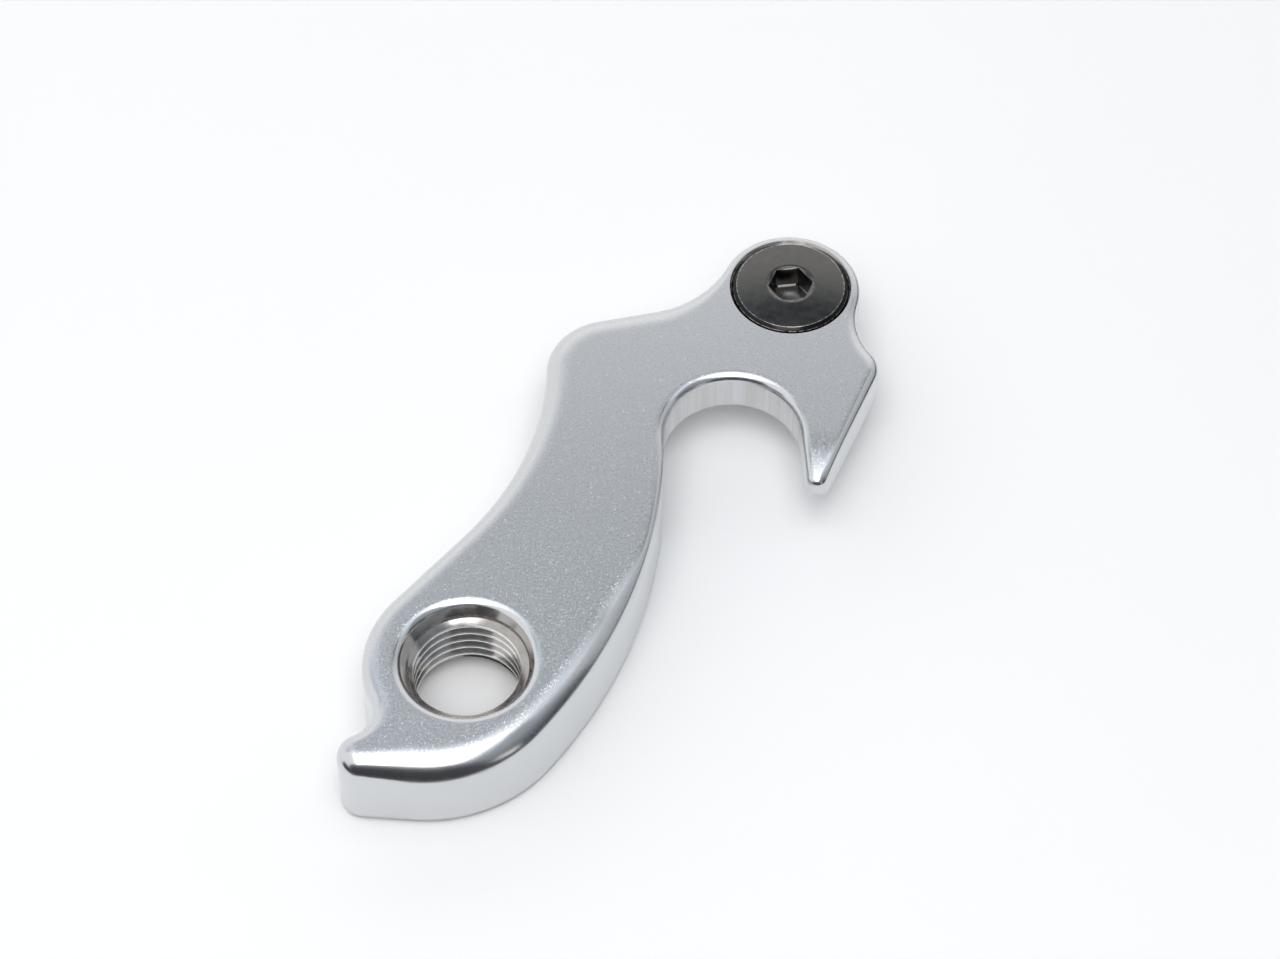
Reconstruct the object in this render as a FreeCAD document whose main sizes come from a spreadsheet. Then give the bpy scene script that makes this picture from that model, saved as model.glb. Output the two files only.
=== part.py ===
import FreeCAD, Part
import math
import os
from collections import namedtuple

import Sketcher
from FreeCAD import Vector

# A bicycle derailleur hanger: a plate with a thick leg and a thin arm, and the screw that fixes it.
# The frame's origin is on the axis of the tapped hole, in the plane of the arm's back face.
# X and Y lie in that face, and +Z points out of the face that carries the screw's head.

# Each row: the cell's alias, its value in millimetres (degrees for a slope), and what it is.
SIZES = (
    ("arm_thickness", 4.0, "arm, from the dropout face up to the outer face"),
    ("leg_step", 4.0, "how far the leg stands below the dropout face"),
    ("step_distance", 24.0, "from the tapped hole to the edge of the step, square to the edge"),
    ("step_slope", 48.0, "way from the tapped hole to the step's edge, above X"),
    ("step_root", 0.5, "rounding at the root of the step"),
    ("nub_x", -8.35, "stop nub, centre"),
    ("nub_y", -8.65, "stop nub, centre"),
    ("nub_radius", 1.95, "stop nub, outline"),
    ("belly_x", -3.24, "underside of the leg, centre"),
    ("belly_y", 1.72, "underside of the leg, centre"),
    ("belly_radius", 12.69, "underside of the leg, outline"),
    ("outer_radius", 46.4, "long curve from the leg's underside to the slot"),
    ("slot_x", 22.36, "axle slot, centre of its round end"),
    ("slot_y", 23.74, "axle slot, centre of its round end"),
    ("slot_radius", 5.95, "axle slot, half its width"),
    ("tip_out", 7.2, "hook's tip from the slot's centre, along X"),
    ("tip_down", 4.25, "hook's tip from the slot's centre, against Y"),
    ("tip_radius", 0.9, "hook's tip, outline"),
    ("nose_length", 5.0, "slope of the outer face at the hook's tip, along Y"),
    ("nose_drop", 0.8, "how far that slope has come down at the tip's end"),
    ("lift_length", 3.0, "slope of the dropout face at the hook's tip, along Y"),
    ("lift_rise", 1.7, "how far that slope has come up at the tip's end"),
    ("corner_out", 10.05, "hook's back from the slot's centre, along X"),
    ("corner_up", 7.43, "hook's back from the slot's centre, along Y"),
    ("corner_radius", 2.87, "hook's back, outline"),
    ("inner_neck_radius", 6.43, "hollow between the hook and the eye"),
    ("eye_out", 5.4, "eye from the slot's centre, along X"),
    ("eye_up", 16.29, "eye from the slot's centre, along Y"),
    ("eye_radius", 6.23, "eye, outline"),
    ("outer_neck_radius", 8.83, "hollow between the eye and the top edge"),
    ("top_slope", 12.4, "straight top edge, below X"),
    ("shoulder_back", 10.61, "shoulder from the slot's centre, against X"),
    ("shoulder_up", 7.55, "shoulder from the slot's centre, along Y"),
    ("shoulder_radius", 5.66, "shoulder, outline"),
    ("back_radius", 29.2, "hollow below the shoulder"),
    ("waist_slope", 49.75, "straight back edge of the leg, above X"),
    ("boss_x", 0.86, "round end of the leg, centre"),
    ("boss_y", 0.17, "round end of the leg, centre"),
    ("boss_radius", 9.5, "round end of the leg, outline"),
    ("notch_radius", 2.53, "notch between the round end and the nub"),
    ("nub_rounding", 1.5, "outer edge round the stop nub"),
    ("leg_rounding", 2.1, "outer edge along the leg's underside"),
    ("slot_rounding", 0.75, "outer edge in the slot and at the hook's tip"),
    ("hook_rounding", 1.0, "outer edge at the hook's back"),
    ("eye_rounding", 0.75, "outer edge round the eye"),
    ("top_rounding", 1.5, "outer edge at the top and the shoulder"),
    ("back_rounding", 1.2, "outer edge at the back, the round end and the notch"),
    ("foot_rounding", 0.8, "edge round the leg's underside"),
    ("tap_bore_diameter", 8.917, "minor diameter of the M10 x 1 thread"),
    ("tap_lead_diameter", 12.0, "lead-in cone at the outer face, rim"),
    ("tap_exit_diameter", 12.0, "lead-out cone at the leg's underside, rim"),
    ("tap_rim_rounding", 0.85, "outer edges of both cones"),
    ("shank_diameter", 6.0, "screw, thread's outer diameter"),
    ("neck_diameter", 5.2, "screw, plain neck between the head and the thread"),
    ("neck_reach", 0.2, "how far the plain neck comes out of the eye"),
    ("shank_clearance", 0.2, "around the screw's shank in the eye"),
    ("head_diameter", 10.64, "screw's head, widest"),
    ("head_clearance", 0.1, "around the widest part of the head"),
    ("head_stand", 0.5, "screw's head above the outer face"),
    ("head_bevel", 0.49, "bevel round the top of the head"),
    ("screw_length", 8.0, "screw, over all"),
    ("screw_point", 0.6, "bevel at the end of the shank"),
    ("socket_width", 3.5, "hex socket across flats"),
    ("socket_depth", 2.4, "hex socket"),
    ("socket_turn", 7.0, "turn of the hex socket about the screw's axis"),
    ("dimple_diameter", 1.6, "drill point in the socket's floor"),
    ("dimple_depth", 0.35, "drill point in the socket's floor"),
)

HEX_SIDES = 6
TOUCHING = 1e-4

# A rounding takes up to this share of the bulge, the wall or the ring that it is on
ROUNDING_SHARE = 0.9

# Which way the outline turns along a circle
LEFT, RIGHT = +1, -1

# How far the cut of a slope runs on past the hook's tip, as a share of the slope's length
SLOPE_OVERRUN = 0.05

# Which way a flat face of the plate looks
UPWARD, DOWNWARD = +1, -1

# How a sketch numbers the points of a curve, and names its own origin
CURVE_START, CURVE_END, CENTRE = range(1, 4)
ORIGIN = (-1, CURVE_START)

# Round: a circle of the outline. Its turn is LEFT where the outline bulges and RIGHT where it is hollow.
Round = namedtuple("Round", "name centre radius turn")
Straight = namedtuple("Straight", "name start end")
Stretch = namedtuple("Stretch", "round start end")


def make_sizes(doc):
    """Write the driving dimensions into a sheet, one row each."""
    sheet = doc.addObject("Spreadsheet::Sheet", "Sizes")
    for row, (alias, value, meaning) in enumerate(SIZES, start=1):
        sheet.set(f"A{row}", meaning)
        sheet.set(f"B{row}", str(value))
        sheet.setAlias(f"B{row}", alias)
    doc.recompute()
    return sheet


def origin_plane(body, role):
    """Find one of a body's own origin planes."""
    return next(item for item in body.Origin.OriginFeatures if item.Role == role)


def new_sketch(body, name, role="XY_Plane"):
    """Add a sketch that lies in one of the body's own planes."""
    sketch = body.newObject("Sketcher::SketchObject", name)
    sketch.AttachmentSupport = [(origin_plane(body, role), "")]
    sketch.MapMode = "FlatFace"
    return sketch


def bind(sketch, name, expression, kind, *where):
    """Add a dimension to a sketch and tie it to the sheet."""
    value = sketch.evalExpression(expression)
    if kind == "Angle":
        value = math.radians(value.Value)
    index = sketch.addConstraint(Sketcher.Constraint(kind, *where, float(value)))
    sketch.renameConstraint(index, name)
    sketch.setExpression(f"Constraints.{name}", expression)


# The outline as circles that the sheet places, and circles and lines that follow from them


def heading(degrees):
    """Give the unit vector of a direction in the plane."""
    return Vector(math.cos(math.radians(degrees)), math.sin(math.radians(degrees)), 0)


def left_of(direction):
    """Give the unit vector a quarter turn to the left of a direction."""
    return Vector(-direction.y, direction.x, 0)


def edge_point(circle, direction):
    """Give the point where the outline runs along a circle in a given direction."""
    return circle.centre - left_of(direction) * (circle.turn * circle.radius)


def common_tangent(first, second):
    """Give the straight run that leaves one circle and joins the next."""
    across = second.centre - first.centre
    lean = math.asin((second.turn * second.radius - first.turn * first.radius) / across.Length)
    direction = heading(math.degrees(math.atan2(across.y, across.x) - lean))
    return edge_point(first, direction), edge_point(second, direction)


def blend_circles(name, first, second, radius, turn):
    """Give the circle of a given radius that runs smoothly from one circle into another."""
    reach_first = abs(turn * radius - first.turn * first.radius)
    reach_second = abs(turn * radius - second.turn * second.radius)
    across = second.centre - first.centre
    span = across.Length
    along = (span * span + reach_first * reach_first - reach_second * reach_second) / (2 * span)
    aside = math.sqrt(reach_first * reach_first - along * along)
    direction = across / span
    centre = first.centre + direction * along + left_of(direction) * (turn * aside)
    return Round(name, centre, radius, turn)


def blend_to_line(name, first, through, direction, radius, turn):
    """Give the circle of a given radius that runs smoothly from a circle into a line."""
    reach = abs(turn * radius - first.turn * first.radius)
    foot = through + left_of(direction) * (turn * radius)
    offset = foot - first.centre
    forward = offset.dot(direction)
    run = math.sqrt(forward * forward - offset.dot(offset) + reach * reach) - forward
    return Round(name, foot + direction * run, radius, turn)


def contact(first, second):
    """Give the point where two circles of the outline run into each other."""
    apart = second.centre - first.centre
    side = 1 if second.turn * second.radius > first.turn * first.radius else -1
    return first.centre - apart / apart.Length * (side * first.turn * first.radius)


def outline(size):
    """Work out the plate's outline from the sheet, counter-clockwise from the stop nub."""
    slot_centre = Vector(size("slot_x"), size("slot_y"), 0)
    tip_centre = slot_centre + Vector(size("tip_out"), -size("tip_down"), 0)
    corner_centre = slot_centre + Vector(size("corner_out"), size("corner_up"), 0)
    eye_centre = slot_centre + Vector(size("eye_out"), size("eye_up"), 0)
    shoulder_centre = slot_centre + Vector(-size("shoulder_back"), size("shoulder_up"), 0)
    nub = Round("nub", Vector(size("nub_x"), size("nub_y"), 0), size("nub_radius"), LEFT)
    belly = Round("belly", Vector(size("belly_x"), size("belly_y"), 0), size("belly_radius"), LEFT)
    slot = Round("slot", slot_centre, size("slot_radius"), RIGHT)
    tip = Round("tip", tip_centre, size("tip_radius"), LEFT)
    corner = Round("corner", corner_centre, size("corner_radius"), LEFT)
    eye = Round("eye", eye_centre, size("eye_radius"), LEFT)
    shoulder = Round("shoulder", shoulder_centre, size("shoulder_radius"), LEFT)
    boss = Round("boss", Vector(size("boss_x"), size("boss_y"), 0), size("boss_radius"), LEFT)

    back_left = heading(size("top_slope")) * -1
    down_left = heading(size("waist_slope")) * -1
    top_end = edge_point(shoulder, back_left)
    waist_end = edge_point(boss, down_left)
    outer = blend_circles("outer", belly, slot, size("outer_radius"), LEFT)
    inner_neck = blend_circles("inner_neck", corner, eye, size("inner_neck_radius"), RIGHT)
    outer_neck = blend_to_line("outer_neck", eye, top_end, back_left, size("outer_neck_radius"), RIGHT)
    back = blend_to_line("back", shoulder, waist_end, down_left, size("back_radius"), RIGHT)
    notch = blend_circles("notch", boss, nub, size("notch_radius"), RIGHT)

    under_start, under_end = common_tangent(nub, belly)
    hook_in_start, hook_in_end = common_tangent(slot, tip)
    hook_out_start, hook_out_end = common_tangent(tip, corner)
    return [
        Stretch(nub, contact(notch, nub), under_start),
        Straight("under", under_start, under_end),
        Stretch(belly, under_end, contact(belly, outer)),
        Stretch(outer, contact(belly, outer), contact(outer, slot)),
        Stretch(slot, contact(outer, slot), hook_in_start),
        Straight("hook_in", hook_in_start, hook_in_end),
        Stretch(tip, hook_in_end, hook_out_start),
        Straight("hook_out", hook_out_start, hook_out_end),
        Stretch(corner, hook_out_end, contact(corner, inner_neck)),
        Stretch(inner_neck, contact(corner, inner_neck), contact(inner_neck, eye)),
        Stretch(eye, contact(inner_neck, eye), contact(eye, outer_neck)),
        Stretch(outer_neck, contact(eye, outer_neck), edge_point(outer_neck, back_left)),
        Straight("top", edge_point(outer_neck, back_left), top_end),
        Stretch(shoulder, top_end, contact(shoulder, back)),
        Stretch(back, contact(shoulder, back), edge_point(back, down_left)),
        Straight("waist", edge_point(back, down_left), waist_end),
        Stretch(boss, waist_end, contact(boss, notch)),
        Stretch(notch, contact(boss, notch), contact(notch, nub)),
    ]


def piece_name(piece):
    """Name a piece of the outline."""
    return piece.name if isinstance(piece, Straight) else piece.round.name


def piece_curve(piece):
    """Turn a piece of the outline into a curve for a sketch."""
    if isinstance(piece, Straight):
        return Part.LineSegment(piece.start, piece.end)
    circle = piece.round
    ends = [piece.start, piece.end] if circle.turn == LEFT else [piece.end, piece.start]
    angles = [math.atan2(point.y - circle.centre.y, point.x - circle.centre.x) for point in ends]
    return Part.ArcOfCircle(Part.Circle(circle.centre, Vector(0, 0, 1), circle.radius), *angles)


def first_end(piece):
    """Say which end of its curve a piece starts from."""
    return CURVE_END if isinstance(piece, Stretch) and piece.round.turn == RIGHT else CURVE_START


def draw_outline(sketch, pieces):
    """Draw the plate's outline as tangent arcs and lines, and tie each of its sizes to the sheet."""
    number = {}
    for piece in pieces:
        number[piece_name(piece)] = sketch.addGeometry(piece_curve(piece), False)
    for piece, following in zip(pieces, pieces[1:] + pieces[:1]):
        leaving = CURVE_START + CURVE_END - first_end(piece)
        joint = number[piece_name(piece)], leaving, number[piece_name(following)], first_end(following)
        sketch.addConstraint(Sketcher.Constraint("Tangent", *joint))

    for piece in pieces:
        if isinstance(piece, Stretch):
            name = piece.round.name
            bind(sketch, f"{name}_radius", f"Sizes.{name}_radius", "Radius", number[name])

    slot = (number["slot"], CENTRE)
    for name, start, across, up in (
        ("nub", ORIGIN, "Sizes.nub_x", "Sizes.nub_y"),
        ("belly", ORIGIN, "Sizes.belly_x", "Sizes.belly_y"),
        ("boss", ORIGIN, "Sizes.boss_x", "Sizes.boss_y"),
        ("slot", ORIGIN, "Sizes.slot_x", "Sizes.slot_y"),
        ("tip", slot, "Sizes.tip_out", "-Sizes.tip_down"),
        ("corner", slot, "Sizes.corner_out", "Sizes.corner_up"),
        ("eye", slot, "Sizes.eye_out", "Sizes.eye_up"),
        ("shoulder", slot, "-Sizes.shoulder_back", "Sizes.shoulder_up"),
    ):
        bind(sketch, f"{name}_across", across, "DistanceX", *start, number[name], CENTRE)
        bind(sketch, f"{name}_upward", up, "DistanceY", *start, number[name], CENTRE)

    for name in ("top", "waist"):
        bind(sketch, f"{name}_heading", f"(180 + Sizes.{name}_slope) * 1 deg", "Angle", number[name])


# Shared ways to draw and cut


def draw_circle(sketch, name, diameter, place=None):
    """Draw a bound circle in a sketch, at the origin or at a bound place."""
    across, up = (sketch.evalExpression(each) for each in place) if place else (0, 0)
    radius = sketch.evalExpression(diameter) / 2
    ring = sketch.addGeometry(Part.Circle(Vector(across, up, 0), Vector(0, 0, 1), radius), False)
    bind(sketch, f"{name}_size", diameter, "Diameter", ring)
    if place:
        bind(sketch, f"{name}_across", place[0], "DistanceX", *ORIGIN, ring, CENTRE)
        bind(sketch, f"{name}_upward", place[1], "DistanceY", *ORIGIN, ring, CENTRE)
    else:
        sketch.addConstraint(Sketcher.Constraint("Coincident", ring, CENTRE, *ORIGIN))


def point_of(sketch, across, up):
    """Give the point whose place two expressions state."""
    return Vector(sketch.evalExpression(across), sketch.evalExpression(up), 0)


def draw_polygon(sketch, corners):
    """Draw a closed polygon, each corner tied to the sheet. A corner is a name and two expressions."""
    points = [point_of(sketch, across, up) for _, across, up in corners]
    sides = [sketch.addGeometry(Part.LineSegment(start, end), False)
             for start, end in zip(points, points[1:] + points[:1])]
    for side, following in zip(sides, sides[1:] + sides[:1]):
        sketch.addConstraint(Sketcher.Constraint("Coincident", side, CURVE_END, following, CURVE_START))
    for side, (name, across, up) in zip(sides, corners):
        bind(sketch, f"{name}_across", across, "DistanceX", *ORIGIN, side, CURVE_START)
        bind(sketch, f"{name}_upward", up, "DistanceY", *ORIGIN, side, CURVE_START)
    return sides


def add_cut(body, name, sketch, length=None):
    """Cut a sketch's area out of a body, by a length or right through."""
    pocket = body.newObject("PartDesign::Pocket", name)
    pocket.Profile = sketch
    if length:
        pocket.setExpression("Length", length)
    else:
        pocket.Type = "ThroughAll"
    return pocket


def rings(shape, height, radius):
    """Name the full circles of one radius at one height."""
    found = []
    for index, edge in enumerate(shape.Edges, start=1):
        curve = edge.Curve
        is_ring = isinstance(curve, Part.Circle) and edge.isClosed()
        if is_ring and abs(curve.Center.z - height) < TOUCHING and abs(curve.Radius - radius) < TOUCHING:
            found.append(f"Edge{index}")
    return found


def add_cone(doc, body, name, base, bore, rim, height):
    """Open a bore out into a cone whose rim lies at a given height."""
    doc.recompute()
    radius = base.evalExpression(bore) / 2
    edges = rings(base.Shape, base.evalExpression(height), radius)
    chamfer = body.newObject("PartDesign::Chamfer", name)
    chamfer.Base = (base, edges)
    chamfer.setExpression("Size", f"({rim} - {bore}) / 2")
    return chamfer


# The plate


def add_blank(body, pieces):
    """Pad the outline over the whole thickness, from the leg's underside to the outer face."""
    sketch = new_sketch(body, "PlateOutline")
    draw_outline(sketch, pieces)
    sketch.setExpression("AttachmentOffset.Base.z", "-Sizes.leg_step")
    pad = body.newObject("PartDesign::Pad", "PlateBlank")
    pad.Profile = sketch
    pad.setExpression("Length", "Sizes.leg_step + Sizes.arm_thickness")


def add_step(doc, body, size):
    """Cut the arm's back down to the dropout face, beyond a straight edge across the arm."""
    sketch = new_sketch(body, "StepArea")
    beyond = "(Sizes.step_distance + Sizes.slot_x + Sizes.slot_y + Sizes.eye_up)"
    along = "cos(Sizes.step_slope * 1 deg)"
    aside = "sin(Sizes.step_slope * 1 deg)"
    draw_polygon(sketch, [
        ("near_right", f"Sizes.step_distance * {along} + {beyond} * {aside}",
         f"Sizes.step_distance * {aside} - {beyond} * {along}"),
        ("far_right", f"{beyond} * ({along} + {aside})", f"{beyond} * ({aside} - {along})"),
        ("far_left", f"{beyond} * ({along} - {aside})", f"{beyond} * ({aside} + {along})"),
        ("near_left", f"Sizes.step_distance * {along} - {beyond} * {aside}",
         f"Sizes.step_distance * {aside} + {beyond} * {along}"),
    ])
    pocket = add_cut(body, "ArmBack", sketch)
    doc.recompute()
    outward = heading(size("step_slope"))
    roots = []
    for index, edge in enumerate(pocket.Shape.Edges, start=1):
        middle = edge.valueAt((edge.FirstParameter + edge.LastParameter) / 2)
        if abs(middle.z) < TOUCHING and abs(middle.dot(outward) - size("step_distance")) < TOUCHING:
            roots.append(f"Edge{index}")
    root = body.newObject("PartDesign::Fillet", "StepRoot")
    root.Base = (pocket, roots)
    root.setExpression("Radius", "Sizes.step_root")


def add_slope(body, name, face, side, length, change):
    """Slope a flat face towards the hook's tip, along an arc that leaves the face smoothly.

    The face's height, the slope's length and its change of height are cells. The side is UPWARD or
    DOWNWARD, the way that the face looks."""
    sketch = new_sketch(body, name + "Slope", "YZ_Plane")
    sketch.setExpression("AttachmentOffset.Base.z", "Sizes.slot_x + Sizes.tip_out")
    tip_end = "(Sizes.slot_y - Sizes.tip_down - Sizes.tip_radius)"
    start = f"{tip_end} + {length}"
    reach = f"{1 + SLOPE_OVERRUN} * {length}"
    beyond = f"{start} - {reach}"
    outside = f"{face} + {side} * Sizes.arm_thickness"
    radius = f"({length} ^ 2 + {change} ^ 2) / (2 * {change})"
    turned = f"({radius} - sqrt(({radius}) ^ 2 - ({reach}) ^ 2))"
    sides = draw_polygon(sketch, [
        ("start", start, face),
        ("outside_start", start, outside),
        ("outside_end", beyond, outside),
        ("end", beyond, f"{face} - {side} * {turned}"),
    ])
    sketch.toggleConstruction(sides[3])
    first = point_of(sketch, start, face)
    bend = sketch.evalExpression(radius)
    turn = math.asin(sketch.evalExpression(reach) / bend)
    circle = Part.Circle(first - Vector(0, side * bend, 0), Vector(0, 0, 1), bend)
    if side == UPWARD:
        angles, ends = (math.pi / 2, math.pi / 2 + turn), (CURVE_START, CURVE_END)
    else:
        angles, ends = (3 * math.pi / 2 - turn, 3 * math.pi / 2), (CURVE_END, CURVE_START)
    arc = sketch.addGeometry(Part.ArcOfCircle(circle, *angles), False)
    sketch.addConstraint(Sketcher.Constraint("Coincident", arc, ends[0], sides[0], CURVE_START))
    sketch.addConstraint(Sketcher.Constraint("Coincident", arc, ends[1], sides[3], CURVE_START))
    bind(sketch, "bend_radius", radius, "Radius", arc)
    pocket = add_cut(body, name, sketch, "4 * (Sizes.tip_radius + Sizes.slot_rounding)")
    pocket.SideType = "Symmetric"


def add_bores(doc, body, size):
    """Drill the tapped hole and the screw's countersunk hole down through the plate."""
    sink_rim = "(Sizes.head_diameter + 2 * Sizes.head_clearance)"
    shank_bore = "(Sizes.shank_diameter + 2 * Sizes.shank_clearance)"

    tap = new_sketch(body, "TapCircle")
    draw_circle(tap, "tap", "Sizes.tap_bore_diameter")
    tap.setExpression("AttachmentOffset.Base.z", "Sizes.arm_thickness")
    bore = add_cut(body, "TapBore", tap)
    lead = add_cone(doc, body, "TapLead", bore,
                    "Sizes.tap_bore_diameter", "Sizes.tap_lead_diameter", "Sizes.arm_thickness")
    out = add_cone(doc, body, "TapExit", lead,
                   "Sizes.tap_bore_diameter", "Sizes.tap_exit_diameter", "-Sizes.leg_step")
    doc.recompute()
    rim = body.newObject("PartDesign::Fillet", "TapRim")
    rim.Base = (out, rings(out.Shape, size("arm_thickness"), size("tap_lead_diameter") / 2)
                + rings(out.Shape, -size("leg_step"), size("tap_exit_diameter") / 2))
    rim.setExpression("Radius", "Sizes.tap_rim_rounding")

    eye = new_sketch(body, "EyeCircle")
    draw_circle(eye, "eye", shank_bore, ("Sizes.slot_x + Sizes.eye_out", "Sizes.slot_y + Sizes.eye_up"))
    eye.setExpression("AttachmentOffset.Base.z", "Sizes.arm_thickness")
    hole = add_cut(body, "EyeBore", eye)
    add_cone(doc, body, "EyeSink", hole, shank_bore, sink_rim, "Sizes.arm_thickness")


def roundings(size, pieces):
    """Give each joint of the outline, where a piece starts, with the outer edge's rounding there."""
    kind = {
        "nub": "nub", "under": "nub", "belly": "leg", "outer": "leg", "slot": "slot",
        "hook_in": "slot", "tip": "slot", "hook_out": "slot", "corner": "hook", "inner_neck": "hook",
        "eye": "eye", "outer_neck": "eye", "top": "top", "shoulder": "top", "back": "top",
        "waist": "back", "boss": "back", "notch": "back",
    }
    sink_radius = size("head_diameter") / 2 + size("head_clearance")
    joints = []
    for before, piece in zip(pieces[-1:] + pieces[:-1], pieces):
        walls = [size("arm_thickness")]
        for side in (before, piece):
            if isinstance(side, Stretch) and side.round.turn == LEFT:
                walls.append(side.round.radius)
            if piece_name(side) == "eye":
                walls.append(size("eye_radius") - sink_radius)
        rounding = size(kind[piece_name(piece)] + "_rounding")
        joints.append((piece.start, min(rounding, ROUNDING_SHARE * min(walls))))
    return joints


def edges_round(shape, outline_wire, lowest, highest):
    """Find the edges that run along the outline between two heights."""
    found = []
    for index, edge in enumerate(shape.Edges, start=1):
        middle = edge.valueAt((edge.FirstParameter + edge.LastParameter) / 2)
        run = edge.lastVertex().Point - edge.firstVertex().Point
        plan = Part.Vertex(middle.x, middle.y, outline_wire.BoundBox.ZMin)
        on_outline = outline_wire.distToShape(plan)[0] < TOUCHING
        if on_outline and lowest < middle.z < highest and abs(run.z) < run.Length / 2:
            found.append((index, edge))
    return found


def runs_with(edge, area):
    """Say whether an edge's curve runs round an area counter-clockwise."""
    middle = (edge.FirstParameter + edge.LastParameter) / 2
    point = edge.valueAt(middle)
    outward = edge.tangentAt(middle).cross(Vector(0, 0, 1))
    beside = Vector(point.x, point.y, area.BoundBox.ZMin) + outward * (10 * TOUCHING)
    return not area.isInside(beside, TOUCHING, True)


def add_roundings(doc, body, size, pieces):
    """Round the outer face's edge, by a radius that runs from joint to joint, and the leg's underside."""
    doc.recompute()
    joints = roundings(size, pieces)
    wire = doc.getObject("PlateOutline").Shape
    area = Part.Face(wire.Wires[0])

    def radius_at(vertex):
        flat = Vector(vertex.Point.x, vertex.Point.y, 0)
        return min(joints, key=lambda joint: joint[0].distanceToPoint(flat))[1]

    # The two radii of each edge are given the way the first edge's curve runs
    top = size("arm_thickness")
    rim = edges_round(body.Shape, wire, (top - size("nose_drop") + size("lift_rise")) / 2, 2 * top)
    forward = runs_with(rim[0][1], area)
    edges = []
    for index, edge in rim:
        ends = [radius_at(edge.firstVertex()), radius_at(edge.lastVertex())]
        if runs_with(edge, area) != forward:
            ends.reverse()
        edges.append((index, *ends))
    foot = size("foot_rounding")
    for index, _ in edges_round(body.Shape, wire, -2 * size("leg_step"), -size("leg_step") / 2):
        edges.append((index, foot, foot))
    plate = doc.addObject("Part::Fillet", "hanger_plate")
    plate.Label = "hanger_plate"
    plate.Base = body
    plate.Edges = edges
    return plate


def make_plate(doc, size):
    """Build the hanger's plate."""
    pieces = outline(size)
    body = doc.addObject("PartDesign::Body", "PlateBody")
    add_blank(body, pieces)
    add_step(doc, body, size)
    add_slope(body, "Nose", "Sizes.arm_thickness", UPWARD, "Sizes.nose_length", "Sizes.nose_drop")
    add_slope(body, "Lift", "0", DOWNWARD, "Sizes.lift_length", "Sizes.lift_rise")
    add_bores(doc, body, size)
    return add_roundings(doc, body, size, pieces)


# The screw. Its own origin is on its axis, level with the plate's outer face


def make_screw(doc):
    """Build the screw that fixes the hanger, with its hex socket upwards."""
    body = doc.addObject("PartDesign::Body", "mounting_screw")
    body.Label = "mounting_screw"
    head = "Sizes.head_diameter / 2"
    shank = "Sizes.shank_diameter / 2"
    neck = "Sizes.neck_diameter / 2"
    neck_end = "-Sizes.arm_thickness - Sizes.neck_reach"
    end = "Sizes.head_stand - Sizes.screw_length"

    turned = new_sketch(body, "ScrewProfile", "XZ_Plane")
    draw_polygon(turned, [
        ("top_middle", "0", "Sizes.head_stand"),
        ("end_middle", "0", end),
        ("end_rim", f"{shank} - Sizes.screw_point", end),
        ("shank_end", shank, f"{end} + Sizes.screw_point"),
        ("shank_start", shank, f"{neck_end} - ({shank} - {neck})"),
        ("neck_end", neck, neck_end),
        ("neck_start", neck, f"-Sizes.head_clearance - ({head} - {neck})"),
        ("head_low", head, "-Sizes.head_clearance"),
        ("head_high", head, "Sizes.head_stand - Sizes.head_bevel"),
        ("top_rim", f"{head} - Sizes.head_bevel", "Sizes.head_stand"),
    ])
    blank = body.newObject("PartDesign::Revolution", "ScrewBlank")
    blank.Profile = turned
    blank.ReferenceAxis = (turned, ["V_Axis"])
    blank.Angle = 360

    hexagon = new_sketch(body, "SocketHexagon")
    corner = "Sizes.socket_width / sqrt(3)"
    turns = [f"(Sizes.socket_turn + {360 * step / HEX_SIDES}) * 1 deg" for step in range(HEX_SIDES)]
    draw_polygon(hexagon, [
        (f"corner_{step}", f"{corner} * cos({turn})", f"{corner} * sin({turn})")
        for step, turn in enumerate(turns)
    ])
    hexagon.setExpression("AttachmentOffset.Base.z", "Sizes.head_stand")
    add_cut(body, "Socket", hexagon, "Sizes.socket_depth")

    point = new_sketch(body, "DimpleProfile", "XZ_Plane")
    floor = "Sizes.head_stand - Sizes.socket_depth"
    draw_polygon(point, [
        ("rim", "Sizes.dimple_diameter / 2", floor),
        ("middle", "0", floor),
        ("bottom", "0", f"{floor} - Sizes.dimple_depth"),
    ])
    dimple = body.newObject("PartDesign::Groove", "Dimple")
    dimple.Profile = point
    dimple.ReferenceAxis = (point, ["V_Axis"])
    dimple.Angle = 360

    body.setExpression("Placement.Base.x", "Sizes.slot_x + Sizes.eye_out")
    body.setExpression("Placement.Base.y", "Sizes.slot_y + Sizes.eye_up")
    body.setExpression("Placement.Base.z", "Sizes.arm_thickness")
    return body


def check(doc, parts):
    """Stop if any object failed, or if a piece has no sound solid."""
    for item in doc.Objects:
        if {"Invalid", "Error"} & set(item.State):
            raise RuntimeError(f"{item.Name} failed: {item.State}")
    for part in parts:
        if part.Shape.isNull() or not part.Shape.isValid() or len(part.Shape.Solids) != 1:
            raise RuntimeError(f"{part.Label} has no sound solid")


def main():
    os.makedirs("parts", exist_ok=True)
    doc = FreeCAD.newDocument("DerailleurHanger")
    sheet = make_sizes(doc)
    parts = [make_plate(doc, sheet.get), make_screw(doc)]
    doc.recompute()
    check(doc, parts)
    for part in parts:
        part.Shape.exportStep(f"parts/{part.Label}.step")


main()
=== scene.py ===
import math
from collections import namedtuple

import bpy
import numpy as np
from bpy.props import FloatProperty, FloatVectorProperty, IntProperty, PointerProperty
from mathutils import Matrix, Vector
from mathutils.geometry import delaunay_2d_cdt


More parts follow.
